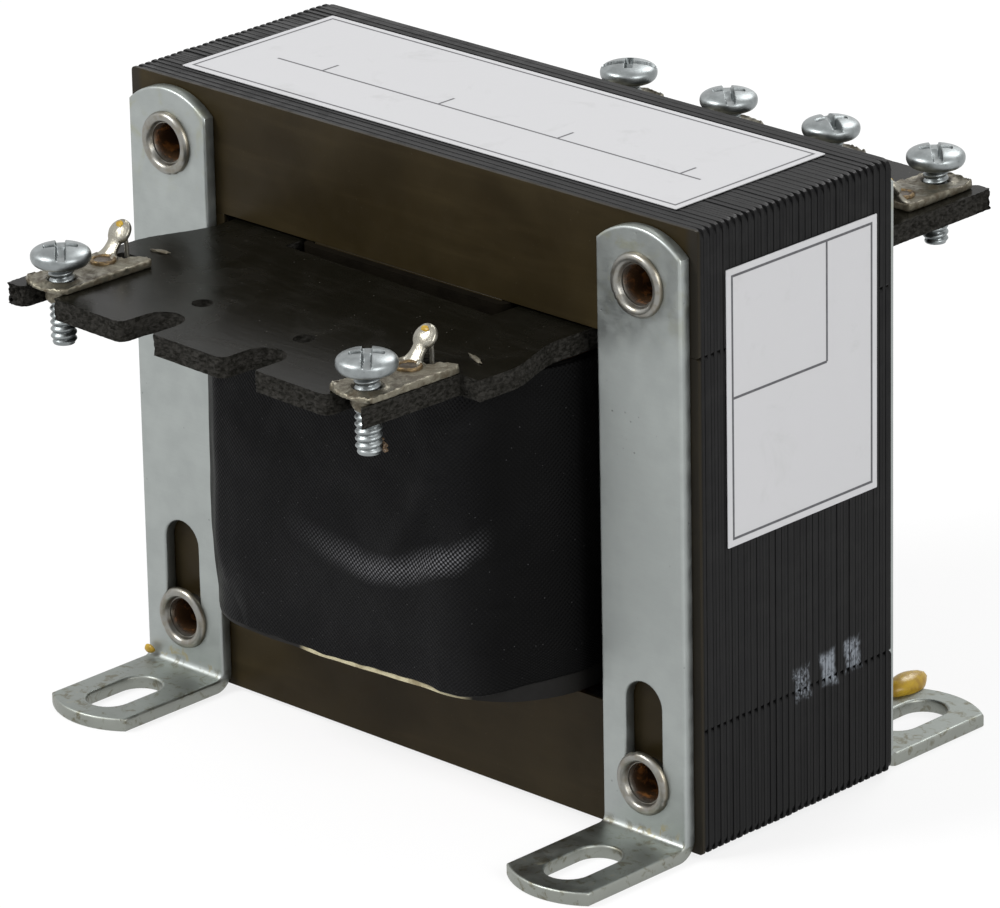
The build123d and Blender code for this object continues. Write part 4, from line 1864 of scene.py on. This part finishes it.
    def screw_shell(self) -> Shell:
        """Round head screw with a slot, a cross recess and a coarse thread.

        The rings run from the crown out over the dome, under the head and down the shank.
        The dome falls as a flattened ellipse. In the slot and the cross the surface drops
        to the recess's floor with steep sides, and the thread's radius follows a rounded
        triangle wave of height over pitch less the angle's share of a turn.

        Returns:
            Its surface.
        """
        radius, height = self.head
        count = 160
        angle = np.linspace(0, 2 * np.pi, count, endpoint=False)
        sweep = np.linspace(0, np.pi / 2, 60)
        dome_r = radius * np.sin(sweep)
        dome_z = self.head_edge + (height - self.head_edge) * np.cos(sweep) ** 0.72
        lower = np.linspace(0, 1, 10)[1:]
        under_r = radius - self.tuck * (1 - np.cos(lower * np.pi / 2)) - 0.1 * lower**6
        under_z = self.head_edge * (1 - np.sin(lower * np.pi / 2) * 0.98)
        neck_r = np.array([radius - self.tuck - 0.35, self.shank + 0.1, self.shank])
        neck_z = np.array([0.0, 0.0, -0.1])
        rows = np.linspace(0.2, self.shank_length - 0.02, int(self.shank_length / self.pitch * 10))
        tip_r = np.array([self.shank * 0.66, self.shank * 0.55, 0.0])
        tip_z = np.array([-self.shank_length + 0.005, -self.shank_length, -self.shank_length])
        ring_r = np.concatenate([dome_r, under_r, neck_r, np.full(len(rows), self.shank), tip_r])
        ring_z = np.concatenate([dome_z, under_z, neck_z, -rows, tip_z])
        r = np.repeat(ring_r[:, None], count, 1)
        z = np.repeat(ring_z[:, None], count, 1)
        top = slice(0, len(dome_r))
        along, across = r[top] * np.cos(angle), r[top] * np.sin(angle)
        width, depth = self.slot

        def recess(distance: Array, half: float, floor: Array) -> Array:
            """Surface with a groove of a half width down to its floor."""
            inside = 1 / (1 + np.exp(np.clip((np.abs(distance) - half) / self.groove_edge, -30, 30)))
            return z[top] - inside * np.maximum(z[top] - floor, 0)

        z[top] = recess(across, width / 2, height - depth + 0 * along)
        half, arm, deepest = self.cross
        taper = height - deepest + 0.5 * np.clip(np.hypot(along, across) / arm, 0, 1.2) ** 3
        for run, off in ((along, across), (across, along)):
            past = np.maximum(np.abs(run) - arm, 0) * 4
            z[top] = recess(np.abs(off) + past, half, taper)
        shank = slice(len(dome_r) + len(under_r) + len(neck_r), len(ring_r) - len(tip_r))
        phase = (rows[:, None] / self.pitch + angle[None] / (2 * np.pi)) % 1.0
        wave = np.clip(1.25 * (1 - np.abs(2 * phase - 1)) - 0.06, 0, 1)
        deep = self.thread_depth * self.pitch
        fade = np.clip(rows / 0.5, 0, 1)[:, None] * np.clip((self.shank_length - rows) / 0.5, 0, 1)[:, None]
        r[shank] = self.shank - deep * (1 - wave * fade) * np.clip(rows / 0.3, 0, 1)[:, None]
        turn = angle + math.radians(self.turn)
        points = np.stack([r * np.cos(turn), r * np.sin(turn), z], -1).reshape(-1, 3)
        return Shell(points, [quads(len(ring_r), count, False, True)])

    def burr_parts(self) -> Parts:
        """Brown swarf that clings to the thread below the board.

        Returns:
            Shells with their finishes.
        """
        rust = CloudyCoat("brown swarf", (0.12, 0.075, 0.04), (0.035, 0.024, 0.014))
        draw = np.random.default_rng(self.seed)
        parts = []
        for number in range(7):
            angle = math.radians(35 + 50 * draw.uniform())
            place = (1.7 * math.cos(angle), 1.7 * math.sin(angle), -7.95 - 0.75 * number / 6)
            size = draw.uniform(0.15, 0.3, 3)
            parts.append((blob(place, size, np.eye(3), self.seed + number, 0.3), rust))
        return parts

    def lead_shell(self) -> Shell:
        """Wire up from the winding, out under the board and through the tab's eye.

        Returns:
            Its surface.
        """
        foot, up, outward = self.tab_axes()
        eye = foot + up * (self.tab_length + self.eye_shift)
        level = (eye[1] - LEAD_REACH) / outward[1]
        route = np.array([
            (*self.start, self.lead_start_height),
            (*self.start, self.lead_run_height),
            (self.x + self.tab[0], LEAD_REACH, self.lead_run_height),
            eye - outward * level,
            eye + outward * self.lead_end,
        ])
        return tube(eased(route), self.lead_radius, np.array([1.0, 0.05, 0.03]))

    def build(self) -> None:
        """Make the terminal's plate, screw and lead."""
        place = BoardFrame(self.end).place
        tin = TinnedBrass()
        parts = [(self.plate_shell(), tin), (self.collar_shell(), tin)]
        parts += self.rivet_parts() + self.tab_parts()
        placed = [(shell.moved(place), finish) for shell, finish in parts]
        fit_piece(f"{self.name}_terminal_plate", placed, Slot.PLATE)
        node = f"{self.name}_terminal_screw"
        low, high = span(node)
        middle = (low + high) / 2
        seat = (middle[0], middle[1], high[2] - self.head[1] + self.stand_more)
        screw = [(self.screw_shell(), ScrewZinc()), *(self.burr_parts() if self.burr else [])]
        raised = [(shell.moved(lambda p: p + seat), finish) for shell, finish in screw]
        fit_piece(node, raised, Slot.SCREW, node)
        wire = CloudyCoat(
            "tinned wire", (0.50, 0.49, 0.44), (0.22, 0.17, 0.07), (0.8, 3.0, 0.4, 0.7),
            share=0.6, metal=0.9, gloss=0.5, rough=0.3, relief=(0.04, 0.5),
        )
        fit_piece(f"{self.name}_lead", [(self.lead_shell().moved(place), wire)], Slot.WIRE)


@dataclass
class Coil:
    """Windings on the centre leg under paper and a wrinkled woven cover."""

    leg: Pair = (28.575, 31.0)
    cloth: Pair = (11.85, 12.6)
    paper: Pair = (11.05, 11.8)
    cloth_span: Pair = (15.39, 53.9)
    paper_span: Pair = (14.94, 53.9)
    straight: int = 72
    turn: int = 30
    bow: Triple = WovenCloth.bow
    fold_ends: tuple[Pair, Pair] = ((19.5, 49.0), (9.6, 32.0))
    pits: tuple[Quad, ...] = ((19.1, 46.7, 0.8, 0.6), (22.1, 26.6, 0.9, 0.5))
    pit_depth: float = 0.35

    def rail(self) -> tuple[Array, Array, Array]:
        """Feet and outward directions round the leg, with the distance along the cover.

        On a side the foot moves and the direction stays. At a corner the foot stays on the
        leg's corner and the direction turns by a quarter. The distance starts at the front
        end of the right side and is counted along the cover's outer surface.

        Returns:
            Feet, directions and distances.
        """
        half_x, half_y = self.leg[0] / 2, self.leg[1] / 2
        corner = [(half_x, half_y), (-half_x, half_y), (-half_x, -half_y), (half_x, -half_y)]
        feet, directions = [], []
        for number in range(4):
            start, end = np.array(corner[number - 1]), np.array(corner[number])
            first = np.array([(1, 0), (0, 1), (-1, 0), (0, -1)][number], float)
            part = np.linspace(0, 1, self.straight, endpoint=False)[:, None]
            feet.append(start + part * (end - start))
            directions.append(np.repeat(first[None], self.straight, 0))
            angle = np.linspace(0, np.pi / 2, self.turn, endpoint=False)
            second = np.array([-first[1], first[0]])
            feet.append(np.repeat(end[None], self.turn, 0))
            directions.append(unit(angle) @ np.array([first, second]))
        feet, directions = np.concatenate(feet), np.concatenate(directions)
        feet, directions = np.concatenate([feet, feet[:1]]), np.concatenate([directions, directions[:1]])
        step = np.linalg.norm(np.diff(feet + directions * self.cloth[1], axis=0), axis=1)
        return feet, directions, np.concatenate([[0], np.cumsum(step)])

    def ring(self, offsets: Array, heights: Array, swell: Callable[[Array, Array, Array], Array]) -> Shell:
        """Closed wall round the leg from a closed profile of offsets and heights.

        Args:
            offsets: Distance of each profile row from the leg.
            heights: Height of each profile row.
            swell: Gives the change of offset and height from each point's place, its
                outward direction and its offset.

        Returns:
            The wall, with the distance round it and up it as its chart.
        """
        feet, directions, along = self.rail()
        shape = (len(offsets), len(along))
        offset = np.broadcast_to(offsets[:, None], shape)
        height = np.broadcast_to(heights[:, None], shape)
        x = feet[:, 0] + offset * directions[:, 0]
        y = feet[:, 1] + offset * directions[:, 1]
        spots = np.stack([x, y, height], -1).reshape(-1, 3)
        ways = np.broadcast_to(directions, (*shape, 2)).reshape(-1, 2)
        change = swell(spots, ways, offset.ravel())
        points = spots + np.column_stack([change[:, :1] * ways, change[:, 1]])
        run = np.concatenate([[0], np.cumsum(np.hypot(np.diff(offsets), np.diff(heights)))])
        chart = np.stack(np.broadcast_arrays(along[None, :], run[:, None]), -1).reshape(-1, 2)
        points = np.concatenate([points, points[: len(along)]])
        chart = np.concatenate([chart, chart[: len(along)] + (0, run[-1] + 0.75)])
        return Shell(points, [quads(len(offsets) + 1, len(along))], chart)

    def folds(self, spots: Array, ways: Array) -> Array:
        """How far the cloth stands out, as a sum of bell-shaped ridges and hollows.

        A bell is e to the minus square of a distance over its width. The ridges are the
        bowed band across the front, the slanting fold above it and the crease at the left
        corner, and the lower left corner is drawn in.

        Args:
            spots: Points of the wall.
            ways: Their outward directions.

        Returns:
            One distance for each point.
        """
        x, z = spots[:, 0], spots[:, 2]
        front = np.clip(-ways[:, 1], 0, 1)
        bend, slope, lowest = self.bow
        below = z - (x * x * bend + x * slope + lowest)
        reach = bell(x - 12, 13) * front
        band = 0.6 * (bell(below, 2.4) - bell(below - 5.5, 3.4))
        first, last = np.array(self.fold_ends)
        length = np.linalg.norm(last - first)
        line = (last - first) / length
        offset = spots[:, [0, 2]] - first
        place = offset @ line
        aside = offset @ np.array([-line[1], line[0]])
        inside = bell(np.maximum(np.abs(place - length / 2) - length / 2, 0), 3) * front
        fold = 0.5 * (bell(aside, 1.5) - bell(aside - 3.2, 2.0))
        angle = np.degrees(np.arctan2(ways[:, 1], ways[:, 0])) % 360
        crease = 0.30 * bell(angle - 250, 6) - 0.25 * bell(angle - 234, 9)
        drawn = np.clip((25 - z) / 9.5, 0, 1) ** 1.7 * 1.9 * bell(angle - 243, 22)
        curl = np.clip((21 - z) / 5.5, 0, 1) ** 2 * 0.6 * bell(angle - 303, 16)
        pits = sum(bell(x - across, wide) * bell(z - up, high) for across, up, wide, high in self.pits)
        return band * reach + fold * inside + crease - drawn + curl - self.pit_depth * pits * front

    def lifted(self, spots: Array) -> Array:
        """How far the lower edge rises toward the right of the front, as a smooth step."""
        part = np.clip((spots[:, 0] + 4) / 18, 0, 1) * (spots[:, 1] < 0)
        return 0.75 * smooth(part) + 0.06

    def cover(self) -> Shell:
        """Cloth cover: broad soft folds, a few ridges and an uneven hem.

        Returns:
            Its surface.
        """
        inner, outer = self.cloth
        low, high = self.cloth_span
        rows = np.linspace(low + 0.15, high - 0.15, 110)
        offsets = np.concatenate([[inner], [inner, outer - 0.12], np.full(len(rows), outer), [outer - 0.12]])
        heights = np.concatenate([[high], [low, low], rows, [high]])

        def swell(spots: Array, ways: Array, offset: Array) -> Array:
            """Outward change of the cloth's outer side, and how the hem rises.

            Args:
                spots: Points of the wall.
                ways: Their outward directions.
                offset: Their distances from the leg.

            Returns:
                Change of offset and height at each point.
            """
            outside = (offset > (inner + outer) / 2).astype(float)
            z = spots[:, 2]
            soft = waves(spots * (1, 1, 0.6), 22.0, 21) * 0.13 + waves(spots, 9.0, 22) * 0.045
            soft += waves(spots, 3.6, 23) * 0.016
            hem = np.clip((low + 6.0 - z) / 6.0, 0, 1)
            part = np.clip((spots[:, 0] - 17.5) / 9.5, 0, 1) * (spots[:, 1] < 0)
            rise = 1.9 * smooth(part) + self.lifted(spots) + 0.07 * waves(spots[:, :2], 4.0, 24)
            return np.column_stack([outside * (soft + self.folds(spots, ways) - 0.15), hem * rise])

        return self.ring(offsets, heights, swell)

    def build(self) -> None:
        """Make the cover and the paper, and finish the hidden layers."""
        fit_piece("cloth_cover", [(self.cover(), WovenCloth())], Slot.CLOTH, crease=60.0)
        inner, outer = self.paper
        low, high = self.paper_span
        rows = np.linspace(low, high, 30)
        offsets = np.concatenate([[inner], [inner], np.full(len(rows), outer)])
        heights = np.concatenate([[high], [low], rows])

        def swell(spots: Array, _ways: Array, _offset: Array) -> Array:
            """Faint unevenness of the paper's lower edge."""
            hem = np.clip(low + 2.0 - spots[:, 2], 0, 2) / 2 * [[0], [1]]
            return (hem * (0.8 * self.lifted(spots) + 0.04 + 0.03 * waves(spots[:, :2], 7.0, 31))).T

        paper = self.ring(offsets, heights, swell)
        # Outside this span the paper's lower edge is painted shade.
        wrap = PressPaper("wrap paper", clean=(-6.0, 18.4))
        fit_piece("paper_wrap", [(paper, wrap)], Slot.PAPER)
        former = PressPaper("former board", (0.006, 0.0048, 0.003), (0.0025, 0.002, 0.0015), gloss=0.03)
        dress_node("coil_former", former)
        dress_node("primary_winding", CopperWire("primary wire", gauge=0.45))
        dress_node("winding_insulation", PressPaper("insulation paper", (0.36, 0.31, 0.19)))
        dress_node("secondary_winding", CopperWire("secondary wire", gauge=0.8))


@dataclass
class Label:
    """Thin bare film with ruled lines, stuck flat on the core."""

    name: str
    across: int
    along: int
    normal: int
    rules: tuple[Rule, ...] = ()
    corner: float = 0.12

    def build(self) -> None:
        """Make the film in its node's place."""
        low, high = span(self.name)
        size, middle = high - low, (high + low) / 2
        plane = [self.across, self.along]
        wide, tall = size[plane] / 2
        corners = [(-wide, -tall), (wide, -tall), (wide, tall), (-wide, tall)]
        film = slab(fine(rounded(corners, self.corner), 1.5), [], soft_edge(size[self.normal], 0.04, 2), 1.5)

        def place(p: Array) -> Array:
            """Lay the film's plane over the node's face."""
            return np.insert(p[:, :2] + middle[plane], self.normal, p[:, 2] + low[self.normal], axis=1)

        finish = LabelFilm(
            f"{self.name} film", across=self.across, along=self.along, middle=tuple(middle[plane].tolist()),
            half=(float(wide), float(tall)), rules=self.rules,
        )
        fit_piece(self.name, [(film.moved(place), finish)], Slot.LABEL)


def standing(toward: Array, place: Array, roll: float = 0.0) -> Matrix:
    """Place of a camera or lamp that looks away from a direction.

    Args:
        toward: Unit vector out of its back.
        place: Where it stands, in millimetres.
        roll: Its turn about that vector, in radians.

    Returns:
        Its matrix in the world.
    """
    right = np.cross([0, 0, 1], toward)
    right /= np.linalg.norm(right)
    up = np.cross(toward, right)
    across = math.cos(roll) * right + math.sin(roll) * up
    upward = math.cos(roll) * up - math.sin(roll) * right
    turn = np.column_stack([across, upward, toward, np.asarray(place) * MM])
    return Matrix(np.vstack([turn, [0, 0, 0, 1]]).tolist())


@dataclass
class Studio:
    """Floor, white surroundings, soft lamps and the camera of the photograph."""

    target: Triple = (-1.561, 0.0, 31.293)
    azimuth: float = 44.162
    elevation: float = 21.071
    roll: float = -1.122
    distance: float = 837.92
    lens: float = 270.37
    far: float = 50.0
    fill: float = 0.55
    lit_height: float = 30.0
    floor_half: float = 6000.0
    lamps: tuple[tuple[str, Triple, float, float], ...] = (
        ("key lamp", (-420.0, -620.0, 760.0), 420.0, 9.0),
        ("right lamp", (760.0, -120.0, 420.0), 420.0, 3.5),
        ("back lamp", (-160.0, 680.0, 640.0), 380.0, 3.0),
    )

    def view(self) -> None:
        """Aim the camera: its back points away from the target, rolled about the view."""
        azimuth, elevation = math.radians(self.azimuth), math.radians(self.elevation)
        level = math.cos(elevation)
        back = np.array([level * math.sin(azimuth), -level * math.cos(azimuth), math.sin(elevation)])
        camera = linked("camera", bpy.data.cameras.new("camera"))
        camera.data.lens = self.lens
        camera.data.clip_end = self.far
        camera.matrix_world = standing(back, self.target + back * self.distance, math.radians(self.roll))
        bpy.context.scene.camera = camera

    def light(self) -> None:
        """Hang soft lamps round the object, each facing it."""
        for name, place, size, power in self.lamps:
            lamp = bpy.data.lights.new(name, "AREA")
            lamp.shape = "DISK"
            lamp.size = size * MM
            lamp.energy = power
            toward = np.array(place) - (0, 0, self.lit_height)
            linked(name, lamp).matrix_world = standing(toward / np.linalg.norm(toward), place)

    def surround(self) -> None:
        """White world for the camera, gloss and glass, softer for the light it gives."""
        world = bpy.data.worlds.new("surroundings")
        bpy.context.scene.world = world
        world.use_nodes = True
        bench = Bench(world.node_tree)
        level = bench.node("ShaderNodeMapRange", {}, {0: bench.mirrored(), 3: self.fill, 4: 1.0})
        ground = world.node_tree.nodes["Background"]
        bench.feed(ground.inputs["Color"], (1.0, 1.0, 1.0))
        bench.feed(ground.inputs["Strength"], level)

    def floor(self) -> None:
        """Wide pale floor under the feet."""
        size = self.floor_half
        grid = np.array([(-size, -size, 0), (size, -size, 0), (size, size, 0), (-size, size, 0)]) * MM
        mesh = bpy.data.meshes.new("floor")
        mesh.from_pydata(grid, [], [(0, 1, 2, 3)])
        mesh.materials.append(PaleFloor().material())
        linked("floor", mesh)

    def build(self) -> None:
        """Set up the whole studio."""
        self.view()
        self.light()
        self.surround()
        self.floor()
        bpy.context.scene.view_settings.view_transform = "Standard"


@dataclass
class Transformer:
    """The whole object, built from its sub-assemblies."""

    places: int = 4
    front_row: Pair = (16.2, 0.4)
    rear_row: Pair = (15.6, 1.3)
    secondary: float = 9.15
    primary: float = 3.9
    lead_spacing: float = 6.00075
    plain: Quad = (0.0, 0.0, 0.0, 0.0)

    def row(self, end: int) -> list[float]:
        """Places of one board's terminals, evenly spaced about its shift."""
        pitch, shift = self.front_row if end < 0 else self.rear_row
        return [shift + (place - (self.places - 1) / 2) * pitch for place in range(self.places)]

    def terminals(self) -> dict[str, tuple[int, int, float, Quad, bool]]:
        """Each terminal's end of the core, place, screw's turn, bright sliver and burr.

        Returns:
            Those values by the terminal's name.
        """
        plain = self.plain
        return {
            "front_left": (-1, 3, 137.0, (0.05, 13.85, 2.4, 0.28), False),
            "front_right": (-1, 0, 134.0, (-1.1, 13.7, 3.2, -0.36), True),
            "rear_1": (1, 0, 40.0, plain, False),
            "rear_2": (1, 1, 137.0, plain, False),
            "rear_3": (1, 2, 148.0, plain, False),
            "rear_4": (1, 3, 136.0, plain, False),
        }

    def drops(self, side: int, end: int) -> list[Drop]:
        """Drops of amber varnish on one bracket.

        Args:
            side: -1 on the left, 1 on the right.
            end: -1 at the front, 1 at the rear.

        Returns:
            Middle and half sizes of each drop.
        """
        if side > 0 and end > 0:
            return [((30.4, 32.2, 2.0), (1.6, 3.4, 1.35))]
        if side < 0 and end < 0:
            return [((-40.9, -17.8, 2.6), (0.8, 0.35, 0.5))]
        return []

    def build(self) -> None:
        """Build every sub-assembly in order."""
        LaminationPile().build()
        for side_name, side in (("left", -1), ("right", 1)):
            for end_name, end in (("front", -1), ("rear", 1)):
                bracket = AngleBracket(side, end, drops=self.drops(side, end))
                bracket.build(f"{end_name}_{side_name}_bracket")
            for number, (level_name, level) in enumerate(zip(("lower", "upper"), HOLE_LEVELS)):
                eyelet = CoreEyelet(side * HOLE_X, level, 50 + number + side)
                eyelet.build(f"{level_name}_{side_name}_eyelet")
        Coil().build()
        for name, end in (("front_terminal_board", -1), ("rear_terminal_board", 1)):
            used = [entry[1] for entry in self.terminals().values() if entry[0] == end]
            TerminalBoard(end, used, self.row(end)).build(name)
        for seed, (name, (end, place, turn, sliver, burr)) in enumerate(self.terminals().items()):
            start_x = self.lead_spacing * (place - (self.places - 1) / 2)
            start_y, more, curl = (self.secondary, 0.0, -0.35) if end < 0 else (self.primary, 0.1, 0.2)
            extras = {"stand_more": more, "curl": curl, "sliver": sliver, "burr": burr}
            x, start = self.row(end)[place], (start_x, start_y)
            Terminal(name, end, x, turn, start, 70 + 9 * seed, **extras).build()
        long_rule = (False, -3.2, -31.0, 33.0)
        ticks = tuple((True, place, -3.2, -0.6) for place in (-24.0, -6.0, 12.0, 30.0))
        Label("top_label", 0, 1, 2, (long_rule, *ticks)).build()
        Label("side_label", 1, 2, 0, ((True, 3.9, 1.1, 14.8), (False, 1.1, -11.1, 3.9))).build()


def main() -> None:
    """Build the object and its studio."""
    logging.basicConfig(level=logging.INFO, format="%(message)s")
    Transformer().build()
    Studio().build()


if __name__ == "__main__":
    main()
